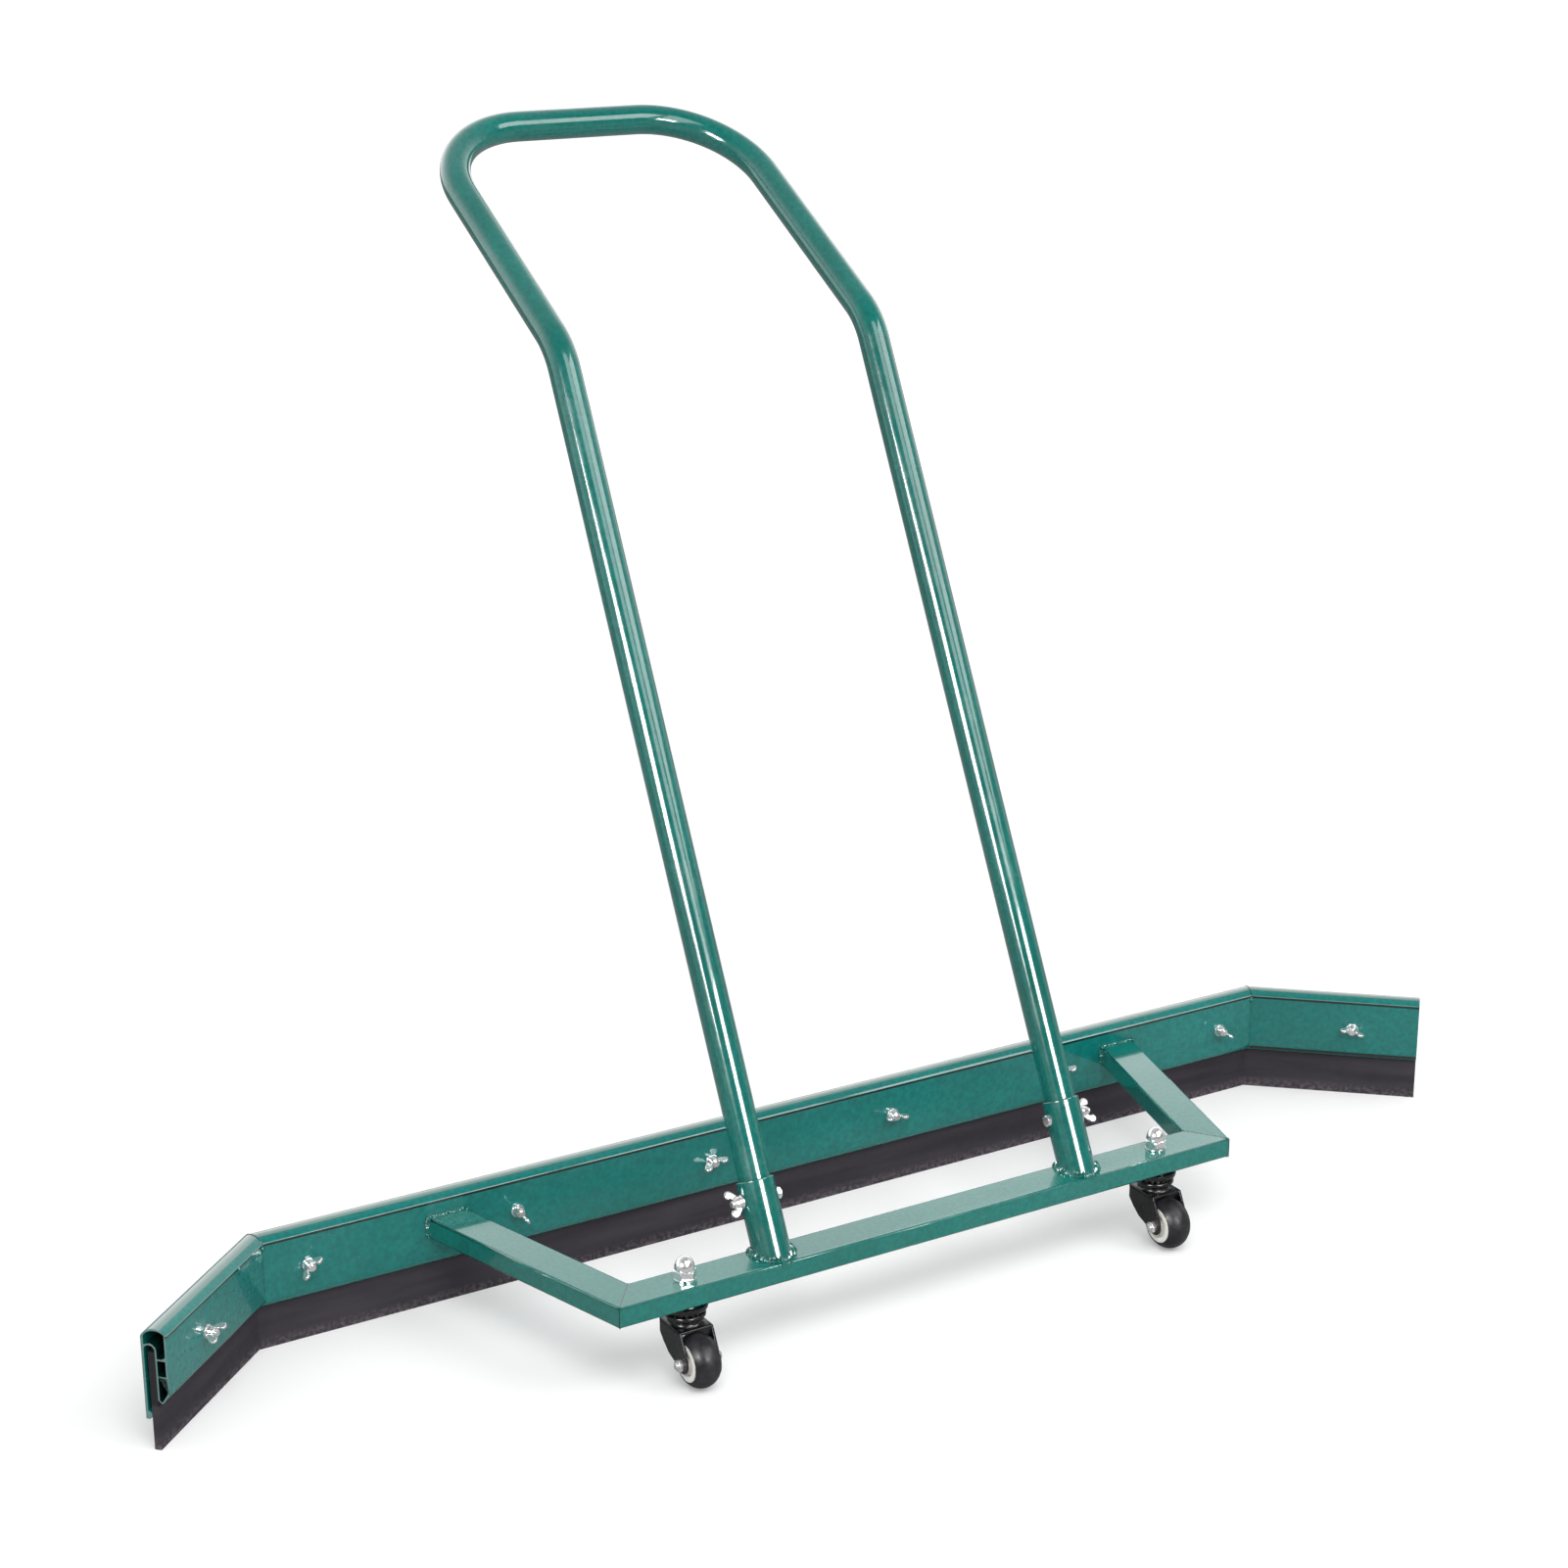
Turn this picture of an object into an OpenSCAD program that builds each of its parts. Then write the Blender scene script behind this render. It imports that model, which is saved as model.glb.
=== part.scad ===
// Push squeegee on two casters, for clearing rain water off a tennis court.
// X runs along the blade, Y from the casters back to the person pushing, Z up.
// Lengths are in millimetres. The floor is z = 0 and the origin is the middle
// of the whole squeegee's footprint.

/* [Blade channel] */
// Length of the main channel, corner to corner along its front face
main_len = 1125; // [1060:5:1250]
// Length of each wing along its front face
wing_len = 177; // [150:1:200]
// How far each wing bends forward, in degrees
wing_angle = 42; // [30:1:45]
// Height of the channel's crest above the floor
crest_z = 115; // [113:1:120]
// Depth of the channel from its front face to its back face
channel_d = 24; // [23:0.5:26]
// Thickness of the channel's front wall and webs
wall = 2; // [1.6:0.1:2.2]
// Thickness of the back plate behind the rubber
back_t = 2.6; // [2.2:0.1:3]

/* [Rubber] */
// Thickness of the rubber strip
rubber_t = 6.5; // [5:0.5:7]
// Height of the rubber strip
rubber_h = 92.5; // [88:0.5:93]

/* [Clamp bolts] */
// Distance between neighbouring bolts on the main channel
bolt_pitch = 208; // [190:1:210]
// Distance from a corner to the bolt on the wing
wing_bolt_u = 108; // [60:1:120]
// Height of the clamp bolts above the floor
bolt_z = 79; // [77:0.5:80]
// Span of a wing nut across the tips of its wings
wing_span = 26; // [24:1:30]

/* [Frame] */
// Width of the crossbar and arm tube
bar_w = 38; // [36:1:42]
// Height of the crossbar and arm tube
bar_h = 20; // [18:0.5:22]
// Wall of the crossbar and arm tube
bar_wall = 2; // [1.5:0.5:2.5]
// Height of the frame's top face
frame_top_z = 94; // [93:0.5:96]
// Distance from the blade's front face to the crossbar's front face
frame_reach = 246; // [235:1:265]
// Length of the crossbar's front face
bar_len = 668; // [640:2:700]
// Distance between the arms' outer edges where they meet the blade
arm_spread = 806; // [770:2:840]

/* [Handle] */
// Outer diameter of the handle tube
tube_d = 30; // [28:0.5:31]
// Wall of the handle tube
tube_wall = 1.5; // [1.2:0.1:2]
// Outer diameter of the sockets that the handle stands in
socket_d = 35; // [34.5:0.5:38]
// Length of a socket along its axis
socket_len = 67; // [60:1:80]
// Distance between the two legs, centre to centre
leg_gap = 336; // [300:2:360]
// Lean of the lower legs from upright, in degrees
lean_low = 26.3; // [24:0.1:28]
// Lean of the upper legs from upright, in degrees
lean_high = 59; // [54:0.5:62]
// Height of the kink in the legs
kink_z = 852; // [780:1:880]
// Height of the grip bar's centre line
grip_z = 1023; // [990:1:1060]
// Bend radius of the kinks
kink_r = 77; // [60:1:100]
// Bend radius of the two top corners
corner_r = 102; // [80:1:120]

/* [Casters] */
// Distance between the two caster stems
stem_gap = 518; // [490:2:530]
// Wheel diameter
wheel_d = 50; // [48:1:51]
// Wheel width across the tyre
wheel_w = 26; // [22:1:27]
// Distance from the swivel axis to the wheel's axle
trail = 23; // [20:1:25]

/* [Hidden] */
$fn = 64;

// Paint and metal colours
green = [0.10, 0.48, 0.38];
dark_rubber = [0.16, 0.13, 0.14];
bright_metal = [0.82, 0.82, 0.84];
black_steel = [0.10, 0.10, 0.11];
cream = [0.93, 0.91, 0.84];

// Running clearance between a turning piece and its pin
run = 0.05;
// Clearance of a bolt in a drilled hole
drill = 0.3;
// Gap between a flat washer and the face that it lies on
seat = 0.1;
eps = 0.01;

// Channel section, as distances n behind the front face and heights above the floor
box_d = 11.5;
rubber_n = box_d;
gap_n = channel_d - back_t;
cap_r = 15.4;
cap_n = 10.4;
cap_lip = 1.5;
step_z = crest_z - 5.5;
roof_r = (gap_n - box_d) / 2;
roof_z = crest_z - 21.2;
sill_z = crest_z - 61;
keel_z = crest_z - 70.5;
keel_r = 3;
keel_n = 7.5;
back_z = crest_z - 86.5;
lip_h = 6;
web_high_z = crest_z - 28.9;
web_low_z = crest_z - 45.2;

// Plan of the blade
mitre = tan(wing_angle / 2);
corner_x = main_len / 2;

// M6 clamp bolt, its washer and its wing nut
bolt_r = 3;
washer_r = 6.5;
washer_t = 1.6;
nut_h = 7;
nut_base_r = 5.6;
nut_top_r = 4.2;
ear_t = 2.4;
ear_r = 4;
ear_top = 12.8;
tip_past_nut = 2.5;
hex_across = 10;
head_h = 4;
// Angle at which each wing nut stopped, seen from its bolt's tip
nut_angles = [14, 44, -57, 17, -5, 30, -34, -12];
handle_nut_angles = [21, -25];

// Frame
bar_y = -frame_reach;
flare = atan((arm_spread - bar_len) / 2 / frame_reach);
inner_x = bar_len / 2 - bar_w * tan(45 - flare / 2);
frame_low_z = frame_top_z - bar_h;
bar_round = 2;

// Handle
leg_x = leg_gap / 2;
tube_r = tube_d / 2;
socket_bore_r = tube_r + 0.2;
foot_y = bar_y + bar_w / 2 + 3.4;
foot_s = 9;
bolt_s = socket_len - 17;
bend = lean_high - lean_low;
kink_s = (kink_z - frame_top_z) / cos(lean_low);
kink_t = kink_r * tan(bend / 2);
kink_y = foot_y + kink_s * sin(lean_low);
upper_s = (grip_z - kink_z) / cos(lean_high);
grip_y = kink_y + upper_s * sin(lean_high);
// Hairline gap after a kink, which a ring inside the tube's wall bridges
kink_gap = 0.02;

// Casters
stem_x = stem_gap / 2;
stem_y = bar_y + bar_w / 2;
wheel_r = wheel_d / 2;
stem_r = 5;
fork_in = wheel_w / 2 + 1.5;
fork_t = 2.5;
fork_out = fork_in + fork_t;
crown_z = wheel_r + 26.5;
crown_top = crown_z + 12.5;
ball_r = 2.2;
ball_ring_r = 13.5;
ball_z = crown_top + 1.4;
balls = 16;
race_low_z = crown_top + 2.8;
race_r = 20.5;
washer2_t = 2;
dome_across = 19;
dome_hex_h = 8;
dome_h = 20;
dome_r = 9.2;

// The whole footprint is centred on the origin by moving the blade to this place
front_y = stem_y - trail - wheel_r;
rear_y = grip_y + tube_r;
blade_y = -(front_y + rear_y) / 2;

// Extruded channel: crowned cap, a three-cell front box, a slot for the rubber and a back plate
module channel_outline() {
    intersection() {
        translate([cap_n, crest_z - cap_r]) circle(cap_r);
        union() {
            translate([-cap_lip, step_z]) square([channel_d + cap_lip, cap_r]);
            translate([0, roof_z]) square([channel_d, step_z - roof_z + eps]);
        }
    }
    polygon([[0, sill_z], [5.2, keel_z + 1.5], [keel_n, keel_z], [box_d, keel_z + keel_r],
             [box_d, roof_z + eps], [0, roof_z + eps]]);
    translate([gap_n, back_z]) square([back_t, roof_z - back_z + eps]);
}

// The three closed cells of the front box
module channel_cells() {
    difference() {
        intersection() {
            translate([cap_n, crest_z - cap_r]) circle(cap_r - wall);
            translate([wall, web_high_z + wall / 2]) square([gap_n - wall, cap_r * 2]);
        }
        translate([box_d + roof_r, roof_z]) circle(roof_r + wall);
        translate([box_d - wall, 0]) square([channel_d, roof_z]);
    }
    translate([wall, web_low_z + wall / 2])
        square([box_d - 2 * wall, web_high_z - web_low_z - wall]);
    polygon([[wall, sill_z + 0.6], [6.4, keel_z + 3.4], [keel_n, keel_z + wall],
             [box_d - wall, keel_z + keel_r + 0.4], [box_d - wall, web_low_z - wall / 2],
             [wall, web_low_z - wall / 2]]);
}

module channel_section() {
    difference() {
        channel_outline();
        channel_cells();
        translate([box_d, 0]) square([gap_n - box_d, roof_z]);
        translate([box_d + roof_r, roof_z]) circle(roof_r);
    }
    // foot of the back plate, which presses the rubber forward
    polygon([[rubber_n + rubber_t, back_z + lip_h], [rubber_n + rubber_t, back_z + 2.5],
             [rubber_n + rubber_t + 2, back_z], [channel_d, back_z],
             [channel_d, back_z + lip_h + 2], [gap_n, back_z + lip_h + 2]]);
}

// A straight stretch of channel along X, kept only inside a plan outline
module channel_run(low_x, high_x, plan) {
    intersection() {
        translate([low_x, 0, 0]) rotate([90, 0, 90]) linear_extrude(high_x - low_x) channel_section();
        linear_extrude(crest_z + 5) polygon(plan);
    }
}

module bolt_hole() {
    translate([0, -5, bolt_z]) rotate([-90, 0, 0]) cylinder(r = bolt_r + drill, h = channel_d + 10);
}

// Places of the eight clamp bolts along the blade, counted from the left
function wing_sign(i) = i == 0 ? -1 : i == 7 ? 1 : 0;
function bolt_x(i) = wing_sign(i) == 0 ? (i - 3.5) * bolt_pitch
    : wing_sign(i) * (corner_x + wing_bolt_u * cos(wing_angle));
function bolt_y(i) = wing_sign(i) == 0 ? 0 : -wing_bolt_u * sin(wing_angle);

module at_clamp(i) {
    translate([bolt_x(i), blade_y + bolt_y(i), 0]) rotate([0, 0, -wing_sign(i) * wing_angle]) children();
}

module main_channel() {
    reach = 5;
    color(green) difference() {
        translate([0, blade_y, 0])
            channel_run(-corner_x - 40, corner_x + 40,
                [[-corner_x + reach * mitre, -reach], [corner_x - reach * mitre, -reach],
                 [corner_x + 40 * mitre, 40], [-corner_x - 40 * mitre, 40]]);
        for (i = [1:6]) at_clamp(i) bolt_hole();
    }
}

module right_wing_channel() {
    reach = 5;
    color(green) difference() {
        translate([corner_x, blade_y, 0]) rotate([0, 0, -wing_angle])
            channel_run(-40, wing_len,
                [[reach * mitre, -reach], [wing_len, -reach], [wing_len, 40], [-40 * mitre, 40]]);
        at_clamp(7) bolt_hole();
    }
}

module left_wing_channel() {
    mirror([1, 0, 0]) right_wing_channel();
}

// One rubber strip that runs round both corners, flush with the channel's ends
function strip_corner(n) = [corner_x + n * mitre, n];
function strip_end(n) = [corner_x + wing_len * cos(wing_angle) + n * sin(wing_angle),
                         n * cos(wing_angle) - wing_len * sin(wing_angle)];
function flip(p) = [-p[0], p[1]];

module rubber_blade() {
    front = rubber_n;
    back = rubber_n + rubber_t;
    color(dark_rubber) difference() {
        translate([0, blade_y, 0]) linear_extrude(rubber_h)
            polygon([flip(strip_end(front)), flip(strip_corner(front)), strip_corner(front),
                     strip_end(front), strip_end(back), strip_corner(back),
                     flip(strip_corner(back)), flip(strip_end(back))]);
        for (i = [0:7]) at_clamp(i) bolt_hole();
    }
}

// A hexagon bolt along +Z: its head below z = 0 and its shank above
module hex_bolt(length) {
    translate([0, 0, -head_h]) cylinder(d = hex_across / cos(30), h = head_h, $fn = 6);
    translate([0, 0, -eps]) cylinder(r = bolt_r, h = length + eps);
}

module clamp_bolts() {
    length = channel_d + seat + washer_t + nut_h + tip_past_nut;
    color(bright_metal) for (i = [0:7])
        at_clamp(i) translate([0, channel_d, bolt_z]) rotate([90, 0, 0]) hex_bolt(length);
}

// Flat washer on the Z axis, standing on z = 0
module washer(hole_r, outer_r, thickness) {
    difference() {
        cylinder(r = outer_r, h = thickness);
        translate([0, 0, -1]) cylinder(r = hole_r, h = thickness + 2);
    }
}

// Wing nut on the Z axis, standing on z = 0, wings along X
module wing_nut() {
    ear_x = wing_span / 2 - ear_r;
    difference() {
        union() {
            cylinder(r1 = nut_base_r, r2 = nut_top_r, h = nut_h);
            rotate([90, 0, 0]) translate([0, 0, -ear_t / 2]) linear_extrude(ear_t)
                for (side = [-1, 1]) scale([side, 1]) {
                    translate([ear_x, ear_top - ear_r]) circle(ear_r);
                    polygon([[bolt_r + 1, 0.6], [nut_base_r + 1, 0.6],
                             [ear_x + ear_r * cos(40), ear_top - ear_r - ear_r * sin(40)],
                             [ear_x - ear_r * cos(40), ear_top - ear_r + ear_r * sin(40)],
                             [bolt_r + 1, nut_h - 1]]);
                }
        }
        translate([0, 0, -1]) cylinder(r = bolt_r + run, h = ear_top + 2);
    }
}

module blade_washer(i) {
    color(bright_metal) at_clamp(i) translate([0, -seat, bolt_z]) rotate([90, 0, 0])
        washer(bolt_r + drill, washer_r, washer_t);
}

module blade_wing_nut(i) {
    color(bright_metal) at_clamp(i) translate([0, -seat - washer_t, bolt_z]) rotate([90, 0, 0])
        rotate([0, 0, nut_angles[i]]) wing_nut();
}

// Rectangular tube section with lightly rounded corners, from x = 0 to -bar_w
module bar_section(inset) {
    r = max(bar_round - inset, 0.4);
    w = bar_w - 2 * inset;
    h = bar_h - 2 * inset;
    translate([-bar_w + inset, frame_low_z + inset]) {
        translate([r, 0]) square([w - 2 * r, h]);
        translate([0, r]) square([w, h - 2 * r]);
        for (x = [r, w - r], z = [r, h - r]) translate([x, z]) circle(r);
    }
}

module bar_tube(length) {
    rotate([90, 0, 0]) translate([0, 0, -length]) linear_extrude(length) difference() {
        bar_section(0);
        bar_section(bar_wall);
    }
}

// Crossbar, mitred at both ends and drilled for the caster stems
module crossbar() {
    half = bar_len / 2;
    color(green) translate([0, blade_y, 0]) difference() {
        intersection() {
            translate([-half, bar_y, 0]) rotate([0, 0, -90]) bar_tube(bar_len);
            translate([0, 0, frame_low_z - 1]) linear_extrude(bar_h + 2)
                polygon([[-half, bar_y], [half, bar_y],
                         [inner_x, bar_y + bar_w], [-inner_x, bar_y + bar_w]]);
        }
        for (side = [-1, 1]) translate([side * stem_x, stem_y, frame_low_z - 1])
            cylinder(r = stem_r + drill, h = bar_h + 2);
    }
}

// Arm from the crossbar's mitre to the blade's front face
module right_arm() {
    half = bar_len / 2;
    inner_end = inner_x + (frame_reach - bar_w) * tan(flare);
    color(green) translate([0, blade_y, 0]) intersection() {
        translate([half, bar_y, 0]) rotate([0, 0, -flare]) translate([0, -60, 0])
            bar_tube(frame_reach * 2);
        translate([0, 0, frame_low_z - 1]) linear_extrude(bar_h + 2)
            polygon([[half, bar_y], [arm_spread / 2, 0], [inner_end, 0], [inner_x, bar_y + bar_w]]);
    }
}

module left_arm() {
    mirror([1, 0, 0]) right_arm();
}

// Local frame of the right leg: origin on the frame's top face, Z up along the lower leg
module along_leg(side) {
    translate([side * leg_x, blade_y + foot_y, frame_top_z]) rotate([-lean_low, 0, 0]) children();
}

module cross_hole(radius) {
    translate([-socket_d, 0, bolt_s]) rotate([0, 90, 0]) cylinder(r = radius, h = 2 * socket_d);
}

module socket(side) {
    color(green) difference() {
        along_leg(side) difference() {
            translate([0, 0, -20]) cylinder(d = socket_d, h = socket_len + 20);
            translate([0, 0, -21]) cylinder(r = socket_bore_r, h = socket_len + 22);
            cross_hole(bolt_r + drill);
        }
        translate([side * leg_x - 50, blade_y + foot_y - 50, frame_top_z - 50]) cube([100, 100, 50]);
    }
}

// Straight tube along +Z
module tube(length) {
    difference() {
        cylinder(r = tube_r, h = length);
        translate([0, 0, -1]) cylinder(r = tube_r - tube_wall, h = length + 2);
    }
}

// Tube bent through an angle about Z, its centre line radius from the axis
module bent_tube(radius, angle) {
    rotate_extrude(angle = angle) translate([radius, 0]) difference() {
        circle(tube_r);
        circle(tube_r - tube_wall);
    }
}

// Ring inside the tube's wall that ties a kink to the straight tube after it
module wall_ring(length) {
    inset = tube_wall / 5;
    difference() {
        cylinder(r = tube_r - inset, h = length);
        translate([0, 0, -1]) cylinder(r = tube_r - tube_wall + inset, h = length + 2);
    }
}

// Length to a hundredth of a millimetre, so that neighbouring stretches end at one plane
function even(length) = round(length * 100) / 100;

// Lower leg with its kink, which ends along the upper leg
module lower_leg(side) {
    straight = even(kink_s - kink_t);
    translate([side * leg_x, foot_y, frame_top_z]) rotate([-lean_low, 0, 0]) {
        difference() {
            translate([0, 0, foot_s]) tube(straight - foot_s);
            cross_hole(bolt_r + drill);
        }
        translate([0, kink_r, straight]) rotate([90, 0, -90]) bent_tube(kink_r, bend);
    }
}

// Upper legs, top corners and grip bar, drawn upright with the kinks at z = 0
module top_loop() {
    start = even(kink_t) + kink_gap;
    upper = even(upper_s - kink_t - corner_r);
    grip = leg_gap - 2 * corner_r;
    ring_h = 3;
    for (side = [-1, 1]) {
        translate([side * leg_x, 0, start - ring_h / 2]) wall_ring(ring_h);
        translate([side * leg_x, 0, start]) tube(upper);
        translate([side * grip / 2, 0, start + upper])
            rotate([90, 0, side > 0 ? 0 : 180]) bent_tube(corner_r, 90);
    }
    translate([-grip / 2, 0, start + upper + corner_r]) rotate([0, 90, 0]) tube(grip);
}

module handle() {
    color(green) translate([0, blade_y, 0]) {
        for (side = [-1, 1]) lower_leg(side);
        translate([0, kink_y, kink_z]) rotate([-lean_high, 0, 0]) top_loop();
    }
}

// Local frame of a handle bolt: Z points outwards along X, origin on the leg's axis
module at_handle_bolt(side) {
    along_leg(side) translate([0, 0, bolt_s]) rotate([0, side * 90, 0]) children();
}

module handle_bolts() {
    length = socket_d + seat * 2 + washer_t + nut_h + tip_past_nut;
    color(bright_metal) for (side = [-1, 1])
        at_handle_bolt(side) translate([0, 0, -socket_d / 2 - seat]) hex_bolt(length);
}

module handle_washer(side) {
    color(bright_metal) at_handle_bolt(side) translate([0, 0, socket_d / 2 + seat])
        washer(bolt_r + drill, washer_r, washer_t);
}

module handle_wing_nut(side) {
    color(bright_metal) at_handle_bolt(side) translate([0, 0, socket_d / 2 + seat + washer_t])
        rotate([0, 0, handle_nut_angles[(side + 1) / 2]]) wing_nut();
}

// Local frame of a caster: Z is the swivel axis
module at_caster(side) {
    translate([side * stem_x, blade_y + stem_y, 0]) children();
}

module spring_washers() {
    color(bright_metal) for (side = [-1, 1]) at_caster(side) translate([0, 0, frame_top_z])
        washer(stem_r + drill, 10, washer2_t);
}

// Dome nuts that close over the tips of the caster stems
module dome_nuts() {
    base = frame_top_z + washer2_t;
    color(bright_metal) for (side = [-1, 1]) at_caster(side) translate([0, 0, base])
        difference() {
            union() {
                intersection() {
                    cylinder(d = dome_across / cos(30), h = dome_hex_h, $fn = 6);
                    translate([0, 0, -4]) cylinder(r1 = 18.5, r2 = 8.3, h = 15);
                }
                translate([0, 0, dome_hex_h - eps])
                    cylinder(r = dome_r, h = dome_h - dome_hex_h - dome_r + eps);
                translate([0, 0, dome_h - dome_r]) sphere(dome_r);
            }
            translate([0, 0, -1]) cylinder(r = stem_r + run, h = dome_h - 3);
        }
}

// Threaded stem with the fixed upper race, and the king pin that holds the fork up
module caster_stem(side) {
    tip_z = frame_top_z + washer2_t + dome_h - 6;
    head_z = crown_z - 0.1;
    color(black_steel) at_caster(side) difference() {
        rotate_extrude() polygon([[0, head_z - 3.4], [7, head_z - 3.4], [8, head_z - 2.4],
            [8, head_z], [stem_r, head_z], [stem_r, race_low_z], [17, race_low_z],
            [race_r - 1, race_low_z + 1], [race_r, race_low_z + 2.5], [race_r, frame_low_z],
            [stem_r, frame_low_z], [stem_r, tip_z - 1], [stem_r - 1, tip_z], [0, tip_z]]);
        rotate_extrude() translate([ball_ring_r, ball_z]) circle(ball_r + run);
    }
}

// Balls that carry the fork against the upper race
module caster_balls(side) {
    color(bright_metal) at_caster(side) for (i = [0:balls - 1])
        rotate([0, 0, i * 360 / balls]) translate([ball_ring_r, 0, ball_z]) sphere(ball_r);
}

// Outline of one fork cheek, seen from the side
module cheek() {
    difference() {
        union() {
            translate([-trail, wheel_r]) circle(9);
            polygon([[-20, crown_z + 2.5], [17, crown_z + 2.5], [17, crown_z - 12],
                     [-17.5, wheel_r - 7], [-trail, wheel_r], [-31.4, wheel_r + 3],
                     [-24, crown_z - 8]]);
        }
        translate([-trail, wheel_r]) circle(bolt_r + drill);
    }
}

module caster_fork(side) {
    color(black_steel) at_caster(side) difference() {
        union() {
            for (x = [-fork_out, fork_in]) translate([x, 0, 0]) rotate([90, 0, 90])
                linear_extrude(fork_t) cheek();
            translate([-fork_out, -20, crown_z]) cube([2 * fork_out, 37, 2.5]);
            rotate_extrude() polygon([[1, crown_z], [16, crown_z], [16, crown_z + 2.5],
                [14.5, crown_z + 4.5], [14.5, crown_z + 6.5], [18.5, crown_z + 8.5],
                [18.5, crown_z + 11.5], [17, crown_top], [1, crown_top]]);
        }
        translate([0, 0, crown_z - 1]) cylinder(r = stem_r + run, h = 20);
        rotate_extrude() translate([ball_ring_r, ball_z]) circle(ball_r + run);
    }
}

// Local frame of a wheel: Z points along +X, origin at the wheel's centre
module at_wheel(side) {
    at_caster(side) translate([0, -trail, wheel_r]) rotate([0, 90, 0]) children();
}

module axle_bolt(side) {
    color(bright_metal) at_wheel(side) translate([0, 0, fork_out]) rotate([180, 0, 0])
        hex_bolt(2 * fork_out + 6.5);
}

module axle_nut(side) {
    color(bright_metal) at_wheel(side) translate([0, 0, -fork_out - 5]) difference() {
        cylinder(d = hex_across / cos(30), h = 5, $fn = 6);
        translate([0, 0, -1]) cylinder(r = bolt_r + run, h = 7);
    }
}

// Cream hub with a raised rim ring on each face and a boss round the axle
module wheel_hub(side) {
    half = wheel_w / 2;
    color(cream) at_wheel(side) rotate_extrude()
        polygon([[bolt_r + run, -half - 0.9], [6, -half - 0.9], [6, -half + 3.5], [11.5, -half + 3.5],
                 [12.5, -half + 0.6], [16.5, -half + 0.6], [17, -half + 1.2], [17, half - 1.2],
                 [16.5, half - 0.6], [12.5, half - 0.6], [11.5, half - 3.5], [6, half - 3.5],
                 [6, half + 0.9], [bolt_r + run, half + 0.9]]);
}

module tyre(side) {
    crown_arc = 16;
    color(black_steel) at_wheel(side) rotate_extrude() intersection() {
        translate([17, -wheel_w / 2]) square([wheel_r - 17, wheel_w]);
        translate([wheel_r - crown_arc, 0]) circle(crown_arc);
    }
}

main_channel();
left_wing_channel();
right_wing_channel();
rubber_blade();
clamp_bolts();
crossbar();
left_arm();
right_arm();
socket(-1);  // left_socket
socket(1);  // right_socket
handle();
handle_bolts();
spring_washers();
dome_nuts();
caster_stem(-1);  // left_caster_stem
caster_balls(-1);  // left_caster_balls
caster_fork(-1);  // left_caster_fork
axle_bolt(-1);  // left_axle_bolt
axle_nut(-1);  // left_axle_nut
wheel_hub(-1);  // left_wheel_hub
tyre(-1);  // left_tyre
caster_stem(1);  // right_caster_stem
caster_balls(1);  // right_caster_balls
caster_fork(1);  // right_caster_fork
axle_bolt(1);  // right_axle_bolt
axle_nut(1);  // right_axle_nut
wheel_hub(1);  // right_wheel_hub
tyre(1);  // right_tyre
blade_washer(0);  // blade_washer_1
blade_washer(1);  // blade_washer_2
blade_washer(2);  // blade_washer_3
blade_washer(3);  // blade_washer_4
blade_washer(4);  // blade_washer_5
blade_washer(5);  // blade_washer_6
blade_washer(6);  // blade_washer_7
blade_washer(7);  // blade_washer_8
blade_wing_nut(0);  // blade_wing_nut_1
blade_wing_nut(1);  // blade_wing_nut_2
blade_wing_nut(2);  // blade_wing_nut_3
blade_wing_nut(3);  // blade_wing_nut_4
blade_wing_nut(4);  // blade_wing_nut_5
blade_wing_nut(5);  // blade_wing_nut_6
blade_wing_nut(6);  // blade_wing_nut_7
blade_wing_nut(7);  // blade_wing_nut_8
handle_washer(-1);  // left_handle_washer
handle_washer(1);  // right_handle_washer
handle_wing_nut(-1);  // left_handle_wing_nut
handle_wing_nut(1);  // right_handle_wing_nut
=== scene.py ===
# %% [markdown]
# # A court squeegee
# A squeegee for tennis courts is a wide rubber strip held in a painted metal channel, pushed with a
# tube handle while two small casters carry the front. The solids of the part come in ready made and
# keep their places. This lesson dresses them: it swaps the plain fasteners, wheels and tubes for finely
# shaped ones, softens the edges of the rest, and gives every surface a finish.

# %% Load the solids of the part
import bmesh
import bpy
import math
from mathutils import Matrix, Vector


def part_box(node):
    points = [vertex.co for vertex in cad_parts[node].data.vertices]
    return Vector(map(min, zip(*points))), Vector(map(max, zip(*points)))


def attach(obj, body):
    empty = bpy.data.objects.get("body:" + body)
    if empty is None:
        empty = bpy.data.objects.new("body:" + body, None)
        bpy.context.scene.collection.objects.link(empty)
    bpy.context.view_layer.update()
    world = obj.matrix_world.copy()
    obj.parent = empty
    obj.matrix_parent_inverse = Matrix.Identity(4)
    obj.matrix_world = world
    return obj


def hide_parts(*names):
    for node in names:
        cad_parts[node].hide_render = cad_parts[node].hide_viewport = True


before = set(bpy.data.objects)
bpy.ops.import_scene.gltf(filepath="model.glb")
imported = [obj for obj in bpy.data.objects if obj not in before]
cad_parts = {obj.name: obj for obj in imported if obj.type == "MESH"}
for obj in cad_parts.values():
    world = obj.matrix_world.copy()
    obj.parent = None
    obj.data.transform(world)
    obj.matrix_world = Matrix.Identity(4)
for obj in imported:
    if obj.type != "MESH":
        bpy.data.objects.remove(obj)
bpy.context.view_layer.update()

# %% [markdown]
# ## Sizes
# Blender counts in metres, and workshop sizes are in millimetres, so every length below is a number of
# millimetres times MM. The places that pieces share are named once. The blade's front face is found
# from the crossbar's box, because the whole squeegee is centred on its footprint.

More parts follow.
